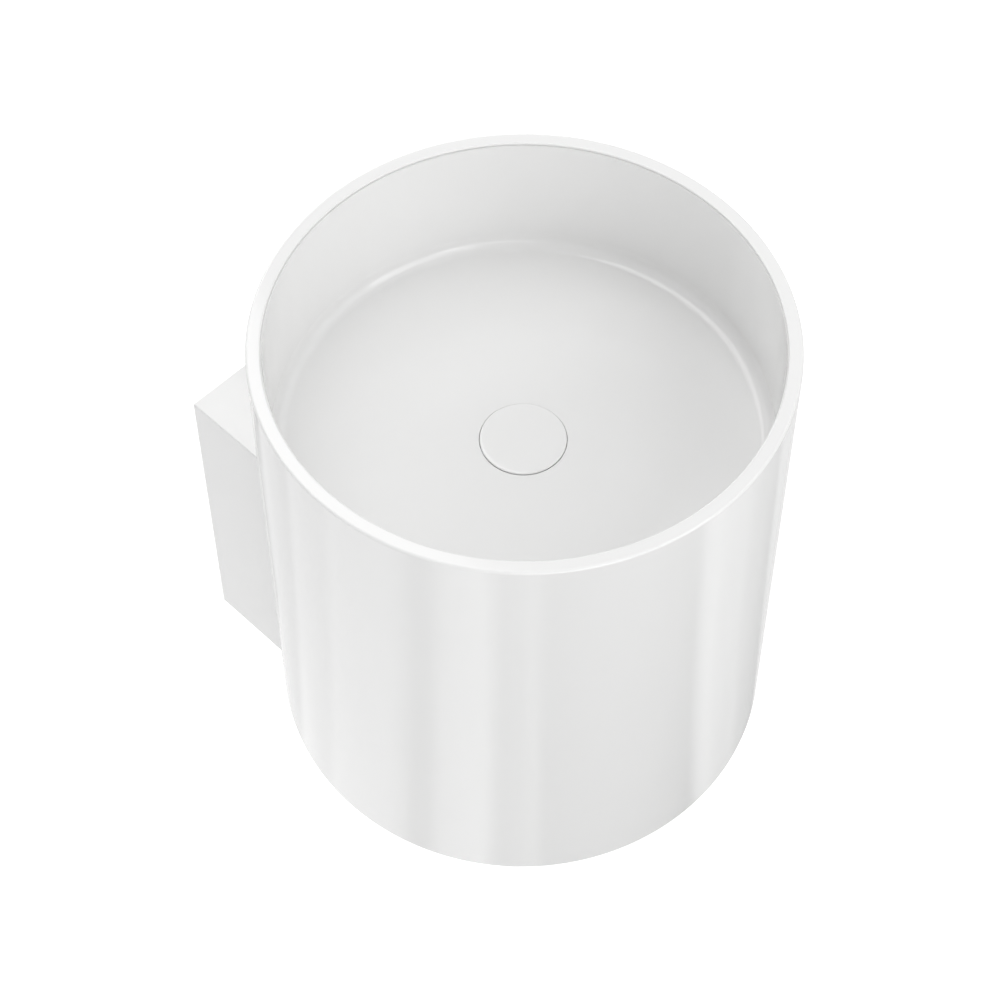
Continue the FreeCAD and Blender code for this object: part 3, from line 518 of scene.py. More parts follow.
@dataclass
class Piece:
    """A mesh that is gathered from shells and then becomes one object."""

    name: str
    vertices: list[Vector] = field(default_factory=list)
    faces: list[tuple[int, ...]] = field(default_factory=list)
    drills: list["Piece"] = field(default_factory=list)

    def turn(
        self,
        outline: Sequence[Point],
        origin: Vector,
        along: Vector = UP,
        sides: int = 96,
        shape: Shape | None = None,
    ) -> None:
        """Add a closed body of revolution.

        Args:
            outline: (radius, height) corners of the closed section, anticlockwise.
            origin: where radius and height count from.
            along: the axis, as a unit vector.
            sides: how many steps the circle takes.
            shape: changes a radius by (turn, radius, height), for threads, flats or flutes.
        """
        across = along.orthogonal().normalized()
        onward = along.cross(across)
        first = len(self.vertices)
        for side in range(sides):
            turn = 2 * math.pi * side / sides
            out = across * math.cos(turn) + onward * math.sin(turn)
            for radius, height in outline:
                reach = shape(turn, radius, height) if shape else radius
                self.vertices.append(origin + out * reach + along * height)
        rows = len(outline)
        for side in range(sides):
            here, there = first + side * rows, first + (side + 1) % sides * rows
            for row in range(rows):
                above = (row + 1) % rows
                self.faces.append((here + row, there + row, there + above, here + above))

    def slab(self, low: Vector, high: Vector, turn: float, centre: Vector) -> None:
        """Add a straight block.

        Args:
            low: its lowest corner, from the centre.
            high: its highest corner.
            turn: how far it is turned about an upright axis through the centre, in radians.
            centre: a point on that axis.
        """
        first = len(self.vertices)
        for z in (low.z, high.z):
            for x, y in ((low.x, low.y), (high.x, low.y), (high.x, high.y), (low.x, high.y)):
                self.vertices.append(centre + Vector((*spun(x, y, turn), z)))
        for side in ((3, 2, 1, 0), (4, 5, 6, 7), (0, 1, 5, 4), (1, 2, 6, 5), (2, 3, 7, 6), (3, 0, 4, 7)):
            self.faces.append(tuple(first + corner for corner in side))

    def drill(self, radius: float, start: Vector, along: Vector, length: float) -> None:
        """Note a round hole that is cut when the piece is finished.

        Args:
            radius: radius of the hole.
            start: where the drill goes in.
            along: the way it goes, as a unit vector.
            length: how far it goes.
        """
        tool = Piece(f"{self.name}_drill_{len(self.drills)}")
        outline = [(NEAR_AXIS, 0.0), (radius, 0.0), (radius, length), (NEAR_AXIS, length)]
        tool.turn(outline, start, along, 64)
        self.drills.append(tool)

    def drilled(self) -> bpy.types.Mesh:
        """Cut the noted holes.

        Returns:
            The cut shape as a new mesh.
        """
        blank = in_scene(f"{self.name}_blank", self.mesh(f"{self.name}_blank"))
        tools = [in_scene(tool.name, tool.mesh(tool.name)) for tool in self.drills]
        for tool in tools:
            cut = blank.modifiers.new(tool.name, "BOOLEAN")
            cut.operation = "DIFFERENCE"
            cut.solver = "EXACT"
            cut.object = tool
        mesh = bpy.data.meshes.new_from_object(blank.evaluated_get(bpy.context.evaluated_depsgraph_get()))
        mesh.name = self.name
        for thing in (blank, *tools):
            spent = thing.data
            bpy.data.objects.remove(thing)
            bpy.data.meshes.remove(spent)
        return mesh

    def mesh(self, name: str) -> bpy.types.Mesh:
        """Join the shells.

        Args:
            name: the mesh's name.

        Returns:
            The mesh.
        """
        mesh = bpy.data.meshes.new(name)
        mesh.from_pydata([tuple(vertex) for vertex in self.vertices], [], self.faces)
        mesh.validate()
        return mesh

    def finish(self, body: Body, slot: Slot, finish: Finish, *nodes: str) -> bpy.types.Object:
        """Make the object, ride it on its body and let it stand for its CAD nodes.

        Args:
            body: what it moves with.
            slot: its material slot; not used.
            finish: its finish.
            nodes: the CAD nodes that it stands for.

        Returns:
            The new object.
        """
        mesh = self.drilled() if self.drills else self.mesh(self.name)
        mesh.polygons.foreach_set("use_smooth", [True] * len(mesh.polygons))
        mesh.set_sharp_from_angle(angle=SMOOTH_ANGLE)
        mesh.materials.clear()
        mesh.materials.append(finish.material())
        made = in_scene(self.name, mesh)
        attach(made, body.value)
        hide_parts(*nodes)
        log.info("%s: %d faces, for %s", self.name, len(mesh.polygons), ", ".join(nodes))
        return made


def dress(finish: Finish, *nodes: str) -> None:
    """Give CAD nodes a finish, in every material slot that they have.

    Args:
        finish: the finish.
        nodes: the nodes' names.
    """
    for name in nodes:
        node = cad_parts[name]
        if not node.material_slots:
            node.data.materials.append(None)
        for slot in node.material_slots:
            slot.material = finish.material()
        log.info("%s: dressed as %s", name, finish.name)


def threaded(pitch: float, depth: float, low: float, high: float) -> Shape:
    """The shape of a screw thread.

    Args:
        pitch: height of one turn.
        depth: how deep the thread is cut.
        low: where it starts.
        high: where it ends.

    Returns:
        A function that cuts the thread into the rows between low and high.
    """

    def cut(turn: float, radius: float, height: float) -> float:
        """The radius at a point of the thread."""
        groove = min(1.0, THREAD_SLOPE * abs((height / pitch - turn / (2 * math.pi)) % 1.0 - 0.5))
        return radius - depth * groove if low < height < high else radius

    return cut


def flat_sided(flats: float, bore: float) -> Shape:
    """The shape of a hexagon nut or head.

    Args:
        flats: its width across flats.
        bore: the radius up to which it stays round.

    Returns:
        A function that cuts the flats.
    """

    def clip(turn: float, radius: float, height: float) -> float:
        """The radius at a point of the flats."""
        from_flat = (turn + math.pi / 6) % (math.pi / 3) - math.pi / 6
        return radius if radius <= bore else min(radius, flats / 2 / math.cos(from_flat))

    return clip


def fluted(count: int, depth: float, smallest: float) -> Shape:
    """The shape of a hand nut's flutes.

    Args:
        count: how many flutes there are.
        depth: how deep they are.
        smallest: the radius up to which the nut stays round.

    Returns:
        A function that cuts the flutes.
    """

    def scoop(turn: float, radius: float, height: float) -> float:
        """The radius at a point of the flutes."""
        share = FLUTE_SLOPE * max(0.0, radius - smallest) / smallest
        return radius - depth * share * max(0.0, math.cos(turn * count)) ** 2

    return scoop


# ---------------- sub-assemblies


@dataclass
class Drum:
    """Drum shell, bowl and drain cover, all turned about the drum's axis."""

    shell_wall: float = 0.006
    rim_width: float = 0.0105
    rim_round: float = 0.002
    rim_inner_round: float = 0.001
    lip: float = 0.0024
    seam_round: float = 0.0009
    base_round: float = 0.001
    bond: float = 0.0003
    bowl_wall: float = 0.005
    floor_edge: float = 0.115
    floor_fall: float = 0.005
    floor_thickness: float = 0.010
    cove: float = 0.012
    recess: float = 0.0333
    recess_round: float = 0.0004
    waste_hole: float = 0.023
    boss: float = 0.045
    cap_round: float = 0.0012
    cap_crown: float = 0.0003
    stud_hole: float = 0.0045
    window: float = 0.021
    drill_start: float = 0.1
    drill_length: float = 0.12
    glaze_edge: float = 0.0012
    glaze_band: float = 0.012
    glaze_fade: float = 0.0015
    # How softly the glue line's grey and painted shade fade in, in metres.
    joint_and_shade_fade: float = 0.0002
    downward: float = -0.2
    # A hair darker than the shell's glaze, as painted shade inside the bowl.
    bowl_shaded_colour: Colour = (0.885, 0.885, 0.881)
    sides: int = 360

    def build(self) -> None:
        """Make the shell, the bowl and the cover."""
        low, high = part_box("drum_shell")
        self.axis = drum_axis()
        self.radius = (high.x - low.x) / 2
        self.base, self.rim = low.z, high.z
        self.lip_under = self.rim - self.lip
        self.bowl_outside = self.radius - self.shell_wall - self.bond
        self.bowl_inside = self.bowl_outside - self.bowl_wall
        self.make_shell()
        self.make_bowl()
        self.make_cap()

    def make_shell(self) -> None:
        """The outer drum: a thin wall with a lip at the rim, drilled at the back."""
        inside, opening = self.radius - self.shell_wall, self.radius - self.rim_width
        section = rounded([
            (inside, self.base, self.base_round),
            (self.radius, self.base, self.base_round),
            (self.radius, self.rim, self.rim_round),
            (opening, self.rim, self.rim_inner_round),
            (opening, self.lip_under, self.seam_round),
            (inside, self.lip_under),
        ])
        shell = Piece("drum_shell_fine")
        shell.turn(section, self.axis, sides=self.sides)
        low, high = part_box("outlet_nut")
        holes = [(self.stud_hole, x, z) for x, z in Fixing().places()]
        for radius, x, z in (*holes, (self.window, 0.0, (low.z + high.z) / 2)):
            shell.drill(radius, Vector((x, self.axis.y + self.drill_start, z)), TO_WALL, self.drill_length)
        glaze = Glaze("shell_glaze", bare=self.shell_bare, joint_and_shade=self.lip_joint_and_shade)
        shell.finish(Body.BASIN, Slot.WHITE_GLAZE, glaze, "drum_shell")

    def make_bowl(self) -> None:
        """The bowl: coved at its floor, which falls to the recess for the cover."""
        edge = self.rim - self.floor_edge
        drain = edge - self.floor_fall
        flange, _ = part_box("flange_gasket")
        boss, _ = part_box("bowl")
        section = rounded([
            (self.waste_hole, boss.z),
            (self.boss, boss.z),
            (self.boss, drain - self.floor_thickness),
            (self.bowl_outside, edge - self.floor_thickness, self.cove + self.bowl_wall),
            (self.bowl_outside, self.lip_under),
            (self.bowl_inside, self.lip_under, self.seam_round),
            (self.bowl_inside, edge, self.cove),
            (self.recess, drain, self.recess_round),
            (self.recess, flange.z),
            (self.waste_hole, flange.z),
        ], steps=16)
        bowl = Piece("bowl_fine")
        bowl.turn(section, self.axis, sides=self.sides)
        glaze = Glaze("bowl_glaze", self.bowl_shaded_colour, bare=self.bowl_bare, joint_and_shade=self.lip_joint_and_shade)
        bowl.finish(Body.BASIN, Slot.WHITE_GLAZE, glaze, "bowl")

    def make_cap(self) -> None:
        """The drain cover: a flat disc, its top crowned by a hair."""
        low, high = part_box("waste_cap")
        inner = (high.x - low.x) / 2 - self.cap_round
        edge = high.z - self.cap_crown
        shares = [1 - step / 12 for step in range(1, 12)]
        section = (
            [(NEAR_AXIS, low.z), (inner, low.z)]
            + arc((inner, low.z + self.cap_round), self.cap_round, -90, 0)[1:]
            + arc((inner, edge - self.cap_round), self.cap_round, 0, 90)
            + [(inner * share, edge + self.cap_crown * (1 - share ** 2)) for share in shares]
            + [(NEAR_AXIS, high.z)]
        )
        cap = Piece("waste_cap_fine")
        cap.turn(section, self.axis, sides=144)
        cap.finish(Body.PLUG, Slot.WHITE_CAP, Glaze("cap_glaze", roughness=0.09), "waste_cap")

    def ragged(self, graph: Graph, place: Wire) -> Wire:
        """The wander of a glaze's edge, about a millimetre either way."""
        return (graph.noise(place, 0.008, detail=3.0) - 0.5) * (2 * self.glaze_edge)

    def shell_bare(self, graph: Graph, place: Wire) -> Wire:
        """Bare inside the drum's shell, but for a band at its lower edge.

        Args:
            graph: the material's graph.
            place: the point.

        Returns:
            The mask.
        """
        _, _, z = graph.parts(place)
        band = self.base + self.glaze_band
        inside = graph.reach(place, self.axis) < self.radius - self.shell_wall / 2
        above = graph.step(z + self.ragged(graph, place), band, band + self.glaze_fade)
        return inside & above & (z < self.lip_under - self.glaze_edge)

    def bowl_bare(self, graph: Graph, place: Wire) -> Wire:
        """Bare on the bowl's outside, and where it faces down.

        Args:
            graph: the material's graph.
            place: the point.

        Returns:
            The mask.
        """
        _, _, up = graph.parts(graph.out(graph.node("NewGeometry"), "Normal"))
        outside = graph.reach(place, self.axis) > (self.bowl_inside + self.bowl_outside) / 2
        return outside | (up < self.downward)

    def lip_joint_and_shade(self, graph: Graph, place: Wire) -> Wire:
        """The grey glue line in the groove between the lip and the bowl, darkened beyond the glue's own grey
        as painted shade in the groove.

        Args:
            graph: the material's graph.
            place: the point.

        Returns:
            The mask.
        """
        _, _, z = graph.parts(place)
        high, low = self.lip_under + self.seam_round * 0.8, self.lip_under - self.seam_round * 0.7
        near = graph.step(z, high + self.joint_and_shade_fade, high) & graph.step(z, low - self.joint_and_shade_fade, low)
        return near & (graph.reach(place, self.axis) < self.radius - self.rim_width + self.seam_round)


@dataclass
class WallBox:
    """The square box between wall and drum, its front edge scribed to the drum."""

    wall: float = 0.008
    edge: float = 0.001
    scribe: float = 0.2003
    front_round: float = 0.0008
    back_round: float = 0.0004
    sink: float = 0.0063
    sink_depth: float = 0.0045
    hole: float = 0.0033
    # A hair darker than the shell's glaze, as painted shade where the drum shades the box.
    colour: Colour = (0.89, 0.89, 0.886)

    def build(self) -> None:
        """Make the box as a wall that follows the square, with the screws' holes through its underside."""
        low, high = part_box("wall_box")
        self.half = high.x
        self.axis = drum_axis()
        box = Piece("wall_box_fine")
        outer, inner = self.loops()
        section = self.section()
        for out, into in zip(outer, inner):
            for depth, forward, front in section:
                flat = out + (into - out) * (depth / self.wall)
                y = self.front(flat.x) + forward if front else -forward
                box.vertices.append(Vector((flat.x, y, flat.y)))
        rows, count = len(section), len(outer)
        for here in range(count):
            there = (here + 1) % count
            for row in range(rows):
                above = (row + 1) % rows
                corners = ((here, row), (here, above), (there, above), (there, row))
                box.faces.append(tuple(loop * rows + step for loop, step in corners))
        screws_low, screws_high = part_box("lock_screws")
        middle = (screws_low.y + screws_high.y) / 2
        head = (screws_high.y - screws_low.y) / 2
        for x in (screws_low.x + head, screws_high.x - head):
            start = Vector((x, middle, low.z - OVERSHOOT))
            box.drill(self.sink, start, UP, self.sink_depth + OVERSHOOT)
            box.drill(self.hole, start, UP, self.wall + 3 * OVERSHOOT)
        glaze = Glaze("box_glaze", self.colour, bare=self.bare)
        box.finish(Body.BASIN, Slot.WHITE_GLAZE, glaze, "wall_box")

    def front(self, x: float) -> float:
        """Y of the scribed edge at X."""
        return self.axis.y + math.sqrt(self.scribe ** 2 - x ** 2)

    def section(self) -> list[tuple[float, float, bool]]:
        """Lay out the wall's section.

        Returns:
            For each corner its depth in the wall, its distance from an end, and True at the front end.
        """
        turns = [math.pi / 2 * step / 5 for step in range(6)]
        back, front = (
            [(size * (1 - math.cos(turn)), size * (1 - math.sin(turn)), at_front) for turn in turns]
            for size, at_front in ((self.back_round, False), (self.front_round, True))
        )
        straight = [(0.0, self.back_round + SHORT_STEP, False), (0.0, self.front_round + SHORT_STEP, True)]
        return back[::-1] + straight + front + [(self.wall, 0.0, True), (self.wall, 0.0, False)]

    def loops(self) -> tuple[list[Vector], list[Vector]]:
        """Lay out the square with rounded corners.

        Returns:
            The outline's points, and for each of them the point inside the wall.
        """
        inside, side = self.half - self.wall, self.half - self.edge
        last = 1 - SHORT_STEP / side
        shares = (last, *(1 - 2 * step / 48 for step in range(1, 48)), -last)
        pairs = [(point, (inside, inside)) for point in arc((side, side), self.edge, 0, 90)]
        pairs += [((share * side, self.half), (share * inside, inside)) for share in shares]
        turns = [math.pi / 2 * quarter for quarter in range(4)]
        outer = [Vector(spun(*Vector(out), turn)) for turn in turns for out, _ in pairs]
        inner = [Vector(spun(*Vector(into), turn)) for turn in turns for _, into in pairs]
        return outer, inner

    def bare(self, graph: Graph, place: Wire) -> Wire:
        """Bare inside the box."""
        x, _, z = graph.parts(place)
        return (abs(x) | abs(z)) < self.half - self.wall / 2


@dataclass(frozen=True)
class HexNut:
    """A chamfered hexagon nut: face is its end faces' share of its width across flats."""

    flats: float
    bore: float
    bore_chamfer: float
    rise: float
    face: float
    steps: int

    def section(self, low: float, high: float) -> list[Point]:
        """Lay out the nut's section.

        Args:
            low: its lower end along its axis.
            high: its upper end.

        Returns:
            The closed section, anticlockwise.
        """
        cut, corner, small = self.bore_chamfer, self.flats / math.sqrt(3), self.flats / 2 * self.face
        return (
            [(self.bore, low + cut), (self.bore + cut, low)]
            + evenly((small, low), (corner, low + self.rise), self.steps)
            + evenly((corner, high - self.rise), (small, high), self.steps)
            + [(self.bore + cut, high), (self.bore, high - cut)]
        )


@dataclass
class Fixing:
    """Bracket, hanger, blocks and fasteners between the basin and the wall."""

    stud: float = 0.004
    nut: HexNut = HexNut(flats=0.013, bore=0.00405, bore_chamfer=0.0005, rise=0.0012, face=0.97, steps=5)
    nut_height: float = 0.0065
    head_height: float = 0.0053
    pitch: float = 0.00125
    thread_depth: float = 0.00065
    thread_end: float = 0.026
    tip: float = 0.0006
    sides: int = 72

    def places(self) -> list[Point]:
        """Find the hanger bolts.

        Returns:
            X and Z of each bolt.
        """
        low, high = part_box("hanger_bolts")
        inset, half = self.nut.flats / math.sqrt(3), self.nut.flats / 2
        return [(x, z) for x in (low.x + inset, high.x - inset) for z in (low.z + half, high.z - half)]

    def build(self) -> None:
        """Make the bolts and nuts with chamfers and threads."""
        low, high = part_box("hanger_bolts")
        nut_low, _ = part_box("hanger_nuts")
        nut, corner = self.nut, self.nut.flats / math.sqrt(3)
        length = high.y - low.y
        seat = length - self.head_height
        outline = (
            [(2 * NEAR_AXIS, 0.0), (self.stud - self.tip, 0.0)]
            + evenly((self.stud, self.tip), (self.stud, self.thread_end), 160)
            + [(self.stud, seat), (corner, seat)]
            + evenly((corner, length - nut.rise), (nut.flats / 2 * nut.face, length), nut.steps)
            + [(2 * NEAR_AXIS, length)]
        )
        cut = threaded(self.pitch, self.thread_depth, self.tip, self.thread_end)
        clip = flat_sided(nut.flats, self.stud)
        section = nut.section(0.0, self.nut_height)
        bolts, nuts = Piece("hanger_bolts_threaded"), Piece("hanger_nuts_chamfered")
        for x, z in self.places():
            origin = Vector((x, low.y, z))
            bolts.turn(outline, origin, TO_WALL, self.sides, lambda t, r, h: clip(t, cut(t, r, h), h))
            nuts.turn(section, Vector((x, nut_low.y, z)), TO_WALL, self.sides, clip)
        bolts.finish(Body.BASIN, Slot.BOLT_STEEL, BOLT_STEEL, "hanger_bolts")
        nuts.finish(Body.BASIN, Slot.BOLT_STEEL, BOLT_STEEL, "hanger_nuts")

    def dress(self) -> None:
        """Dress the nodes that keep their CAD shape."""
        dress(Galvanised("zinc_sheet"), "wall_bracket", "hanger_plate")
        dress(BOLT_STEEL, "hanger_washers", "lock_screws")
        blocks = ("saddle_block_left", "saddle_block_right", "clamp_block_left", "clamp_block_right")
        dress(Moulding("block_moulding"), *blocks)


@dataclass
class Waste:
    """The push-open waste with its plug, clamp and cartridge."""

    pitch: float = 0.00231
    thread_depth: float = 0.0011
    throat: float = 0.0185
    mouth_round: float = 0.0015
    hub: float = 0.0075
    hub_bore: float = 0.00405
    arm: float = 0.003
    cross_rise: float = 0.002
    cross_height: float = 0.008
    overlap: float = 0.0005
    thread: float = 0.02095
    tail_chamfer: float = 0.0008
    plain: float = 0.009
    flange: float = 0.002
    burr: float = 0.0004
    edge: float = 0.0006
    sides: int = 144
    nut: HexNut = HexNut(flats=0.052, bore=0.021, bore_chamfer=0.0006, rise=0.002, face=0.985, steps=6)

    def build(self) -> None:
        """Make the threaded waste body, the chamfered back nut and the spring."""
        self.make_body()
        self.make_back_nut()
        self.make_spring()

    def make_body(self) -> None:
        """The flanged body with its thread, and the cross inside."""
        low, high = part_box("waste_body")
        cartridge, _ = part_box("cartridge")
        axis, flange, under = drum_axis(), (high.x - low.x) / 2, high.z - self.flange
        start, end = low.z + self.tail_chamfer, under - self.plain
        outline = (
            [(self.throat, low.z), (self.thread - self.tail_chamfer, low.z)]
            + evenly((self.thread, start), (self.thread, end), 190)
            + [(self.thread, under), (flange - self.burr, under), (flange, under + self.burr)]
            + arc((flange - self.edge, high.z - self.edge), self.edge, 0, 90, 4)
            + arc((self.throat + self.mouth_round, high.z - self.mouth_round), self.mouth_round, 90, 180)
        )
        body = Piece("waste_body_threaded")
        cut = threaded(self.pitch, self.thread_depth, start, end)
        body.turn(outline, axis, sides=self.sides, shape=cut)
        cross = cartridge.z + self.cross_rise
        top = cross + self.cross_height
        ring = [(self.hub_bore, cross), (self.hub, cross), (self.hub, top), (self.hub_bore, top)]
        body.turn(ring, axis, sides=64)
        near = Vector((self.hub - self.overlap, -self.arm / 2, cross))
        far = Vector((self.throat + self.overlap, self.arm / 2, top))
        for index in range(3):
            body.slab(near, far, math.radians(120 * index), axis)
        body.finish(Body.BASIN, Slot.CHROME, CHROME, "waste_body")

    def make_back_nut(self) -> None:
        """The brass nut under the bowl."""
        low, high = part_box("back_nut")
        clip = flat_sided(self.nut.flats, self.nut.bore)
        nut = Piece("back_nut_chamfered")
        nut.turn(self.nut.section(low.z, high.z), drum_axis(), sides=self.sides, shape=clip)
        nut.finish(Body.BASIN, Slot.BRASS, BRASS, "back_nut")

    def make_spring(self) -> None:
        """The spring: a copy of its CAD mesh in bolt steel, in place of the CAD node."""
        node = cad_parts["plunger_spring"]
        low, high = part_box("plunger_spring")
        foot, head = drum_axis(), drum_axis()
        foot.z, head.z = low.z, high.z
        mesh = node.data.copy()
        mesh.transform(node.matrix_world)
        mesh.materials.clear()
        mesh.materials.append(BOLT_STEEL.material())
        spring = in_scene("plunger_spring_coil", mesh)
        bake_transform(spring)
        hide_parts("plunger_spring")
        log.info("%s: %d faces, for plunger_spring", spring.name, len(mesh.polygons))

    def dress(self) -> None:
        """Dress the nodes that keep their CAD shape."""
        dress(BRASS, "plunger_stem")
        dress(RUBBER, "flange_gasket", "cup_washer", "plug_seal", "inlet_gasket")
        dress(PALE_PLASTIC, "slip_washer", "cartridge", "plug_insert")


@dataclass
class Trap:
    """The bottle trap from the waste's tail to the wall."""

    flutes: int = 12
    flute_depth: float = 0.0016
    flute_root: float = 0.023
    bore: float = 0.0163
    thread_bore: float = 0.021
    shoulder: float = 0.004
    edge: float = 0.0015
    sides: int = 144

    def build(self) -> None:
        """Make the three hand nuts with their flutes."""
        low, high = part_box("outlet_nut")
        flutes = fluted(self.flutes, self.flute_depth, self.flute_root)
        for name, axis, origin, flipped in (
            ("inlet_nut", UP, drum_axis(), True),
            ("neck_nut", UP, drum_axis(), False),
            ("outlet_nut", TO_WALL, Vector((0.0, 0.0, (low.z + high.z) / 2)), False),
        ):
            low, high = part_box(name)
            start, end = (low.y, high.y) if axis is TO_WALL else (low.z, high.z)
            piece = Piece(f"{name}_fluted")
            outline = self.nut_outline(start, end, (high.x - low.x) / 2, flipped)
            piece.turn(outline, origin, axis, self.sides, flutes)
            piece.finish(Body.BASIN, Slot.CHROME, CHROME, name)

    def nut_outline(self, start: float, end: float, outer: float, flipped: bool) -> list[Point]:
        """Section of a union nut.

        Args:
            start: its lower end along its axis.
            end: its upper end.
            outer: its outside radius.
            flipped: True where the shoulder is at the lower end.

        Returns:
            The closed section, anticlockwise.
        """
        edge, bore, thread = self.edge, self.bore, self.thread_bore
        outside = [
            *arc((outer - edge, start + edge), edge, -90, 0),
            *arc((outer - edge, end - edge), edge, 0, 90),
        ]
        step = start + self.shoulder if flipped else end - self.shoulder
        upper, lower = (thread, bore) if flipped else (bore, thread)
        return outside + [(upper, end), (upper, step), (lower, step), (lower, start)]

    def dress(self) -> None:
        """Dress the nodes that keep their CAD shape."""
        dress(CHROME, "inlet_pipe", "trap_head", "trap_cup", "outlet_pipe")
        dress(RUBBER, "neck_seal", "cup_gasket", "outlet_seal")


# ---------------- studio


@dataclass(frozen=True)
class SoftBox:
    """A square soft light that aims at the basin.

    azimuth is 0 in front of the wall and 90 to the left of a user. level is the share of full light
    that it gives a surface facing it: where all shares add up to 1, a colour renders as written.
    """

    name: str
    azimuth: float
    elevation: float
    level: float
    width: float = 2.0
    distance: float = 3.0

    def place(self, target: Vector) -> None:
        """Hang the light round a target.

        Args:
            target: the point that it faces.
        """
        turn, rise = math.radians(self.azimuth), math.radians(self.elevation)
        back = Vector((-math.sin(turn) * math.cos(rise), -math.cos(turn) * math.cos(rise), math.sin(rise)))
        lamp = bpy.data.lights.new(self.name, "AREA")
        lamp.shape = "SQUARE"
        lamp.size = self.width
        lamp.energy = self.level * (math.pi * self.distance) ** 2
        made = in_scene(self.name, lamp)
        made.location = target + back * self.distance
        made.rotation_euler = (-back).to_track_quat("-Z", "Y").to_euler()
        made.visible_camera = False


@dataclass(frozen=True)
class Card:
    """A soft-edged card on the floor round the basin, which only the gloss of the pieces shows."""

    name: str
    azimuth: float
    spread: float
    level: float
    soft: float = 10.0
    near: float = 0.25
    far: float = 2.2

    def place(self, centre: Vector, height: float) -> None:
        """Lay the card as a sector round a centre, at a height.

        Args:
            centre: a point on the axis that the sector turns about.
            height: height of the card.
        """
        reach, steps = self.spread + self.soft, 24
        points: list[Place] = []
        for radius in (self.near, self.far):
            for step in range(steps + 1):
                turn = math.radians(self.azimuth - reach + 2 * reach * step / steps)
                x, y = centre.x - math.sin(turn) * radius, centre.y - math.cos(turn) * radius
                points.append((x, y, height))
        faces = [(step, step + 1, steps + 2 + step, steps + 1 + step) for step in range(steps)]
        mesh = bpy.data.meshes.new(self.name)
        mesh.from_pydata(points, [], faces)
        mesh.materials.append(self.paint(centre))
        made = in_scene(self.name, mesh)
        made.visible_camera = made.visible_diffuse = made.visible_transmission = made.visible_shadow = False

    def paint(self, centre: Vector) -> bpy.types.Material:
        """Paint an even glow that fades out at both ends of the sector.

        Args:
            centre: a point on the axis that the sector turns about.

        Returns:
            The material.
        """
        material = bpy.data.materials.new(self.name)
        graph = Graph(material)
        x, y, _ = graph.parts(graph.place())
        turn = math.radians(self.azimuth)
        across = (centre.x - x) * math.cos(turn) - (centre.y - y) * math.sin(turn)
        onward = (centre.x - x) * math.sin(turn) + (centre.y - y) * math.cos(turn)
        away = abs(graph.math("ARCTAN2", across, onward)) * (180 / math.pi)
        shown = graph.step(away, self.spread + self.soft, self.spread)
        clear = graph.node("BsdfTransparent")
        glow = graph.node("Emission", sockets={"Strength": self.level})
        graph.end(graph.node("MixShader", sockets={0: shown, 1: graph.out(clear), 2: graph.out(glow)}))
        return material


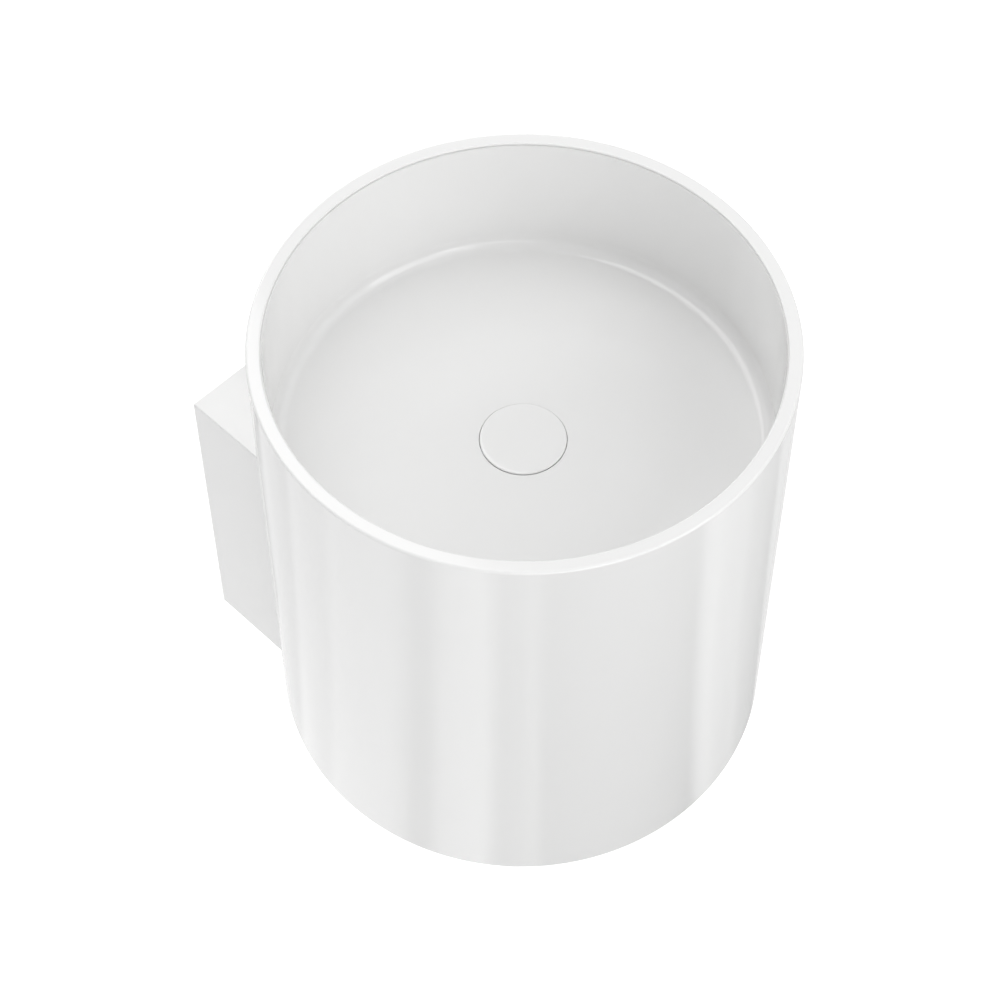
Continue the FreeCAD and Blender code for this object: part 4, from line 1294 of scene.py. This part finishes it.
@dataclass
class Studio:
    """Floor, white surround, soft lights, cards and the photograph's camera."""

    floor_drop: float = 0.56
    floor_width: float = 6.0
    floor_colour: Colour = (0.85, 0.85, 0.85)
    floor_glow: float = 0.42
    ambient: float = 0.41
    card_lift: float = 0.01
    card_gap: float = 0.001
    lens: float = 97.17
    sensor: float = 36.0
    camera_place: Vector = Vector((-0.8624, -0.8315, 1.5219))
    camera_turn: Place = (34.819, 0.037, -45.258)
    lights: tuple[SoftBox, ...] = (
        SoftBox("front_light", 0, 40, 0.21),
        SoftBox("front_left_light", 30, 15, 0.26),
        SoftBox("front_right_light", -30, 40, 0.10),
        SoftBox("right_light", -90, 40, 0.05),
        SoftBox("back_right_light", -150, 20, 0.20),
        SoftBox("back_light", 180, 12, 0.14),
        SoftBox("back_high_light", 180, 65, 0.26),
        SoftBox("back_left_light", 120, 15, 0.06),
    )
    cards: tuple[Card, ...] = (
        Card("front_card", 5.5, 30.5, 0.08, 12),
        Card("front_left_card", 49, 4, 0.42, 7),
        Card("right_card", -43, 5, 0.65, 14),
        Card("right_edge_card", -66, 11, 0.6, 8),
        Card("far_right_card", -130, 50, 0.82, 5),
        Card("left_gap_card", 83.5, 2.5, 0.85, 6),
        Card("left_card", 112, 13, 1.45, 8),
        Card("left_rear_card", 141, 10, 1.25, 6),
        Card("left_edge_card", 164, 12, 1.0, 4),
        Card("behind_card", 190, 10, 0.3, 4),
    )

    def build(self) -> None:
        """Set up everything round the basin."""
        self.world()
        self.floor()
        target = drum_axis()
        for light in self.lights:
            light.place(target)
        for index, card in enumerate(self.cards):
            card.place(target, self.card_lift + index * self.card_gap - self.floor_drop)
        self.camera()
        bpy.context.scene.view_settings.view_transform = "Standard"

    def seen(self, graph: Graph) -> Wire:
        """Find the rays that show the background, straight or in a mirror or glass.

        Args:
            graph: a graph.

        Returns:
            1 for such a ray, and 0 for the others.
        """
        path = graph.node("LightPath")
        shown = graph.out(path, "Is Camera Ray") | graph.out(path, "Is Glossy Ray")
        return shown | graph.out(path, "Is Transmission Ray")

    def world(self) -> None:
        """Even light from all round, on a white background."""
        world = bpy.data.worlds.new("surround")
        graph = Graph(world)
        seen = self.seen(graph)
        strength = seen + (1 - seen) * self.ambient
        shade = graph.node("Background", sockets={"Color": (1.0, 1.0, 1.0, 1.0), "Strength": strength})
        graph.end(shade, "OutputWorld")
        bpy.context.scene.world = world

    def floor(self) -> None:
        """A wide pale floor under the basin, white but for the shadow, and clear from below."""
        half = self.floor_width / 2
        corners = [(-half, -half), (half, -half), (half, half), (-half, half)]
        mesh = bpy.data.meshes.new("floor")
        mesh.from_pydata([(x, y, -self.floor_drop) for x, y in corners], [], [(0, 1, 2, 3)])
        material = bpy.data.materials.new("floor_paint")
        graph = Graph(material)
        paint = graph.node("BsdfDiffuse", sockets={"Color": (*self.floor_colour, 1.0)})
        glow = graph.node("Emission", sockets={"Strength": self.seen(graph) * self.floor_glow})
        both = graph.node("AddShader", sockets={0: graph.out(paint), 1: graph.out(glow)})
        under = graph.out(graph.node("NewGeometry"), "Backfacing")
        clear = graph.node("BsdfTransparent")
        graph.end(graph.node("MixShader", sockets={0: under, 1: graph.out(both), 2: graph.out(clear)}))
        mesh.materials.append(material)
        in_scene("floor", mesh)

    def camera(self) -> None:
        """The photograph's camera: its place counts from the centre of the rim."""
        _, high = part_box("drum_shell")
        rim = drum_axis() + Vector((0.0, 0.0, high.z))
        lens = bpy.data.cameras.new("photo_camera")
        lens.lens, lens.sensor_width = self.lens, self.sensor
        made = in_scene("photo_camera", lens)
        made.location = rim + self.camera_place
        made.rotation_euler = tuple(math.radians(angle) for angle in self.camera_turn)
        bpy.context.scene.camera = made


CHROME = Plating("chrome_plate")
BOLT_STEEL = BarMetal("bolt_steel")
BRASS = BarMetal("turned_brass", colour=(0.74, 0.56, 0.27), stain=(0.5, 0.36, 0.17), roughness=0.24)
RUBBER = Moulding("black_rubber", (0.028, 0.028, 0.028), (0.07, 0.07, 0.068), 0.62, 0.0005, 0.00002)
PALE_PLASTIC = Moulding("pale_plastic", (0.78, 0.78, 0.76), (0.84, 0.84, 0.82), 0.38, 0.0009, 0.00001)


def main() -> None:
    """Build the sub-assemblies in order, then the studio."""
    logging.basicConfig(level=logging.INFO, format="%(name)s: %(message)s")
    fixing, waste, trap = Fixing(), Waste(), Trap()
    for assembly in (Drum(), WallBox(), fixing, waste, trap):
        assembly.build()
    for assembly in (fixing, waste, trap):
        assembly.dress()
    Studio().build()


if __name__ == "__main__":
    main()
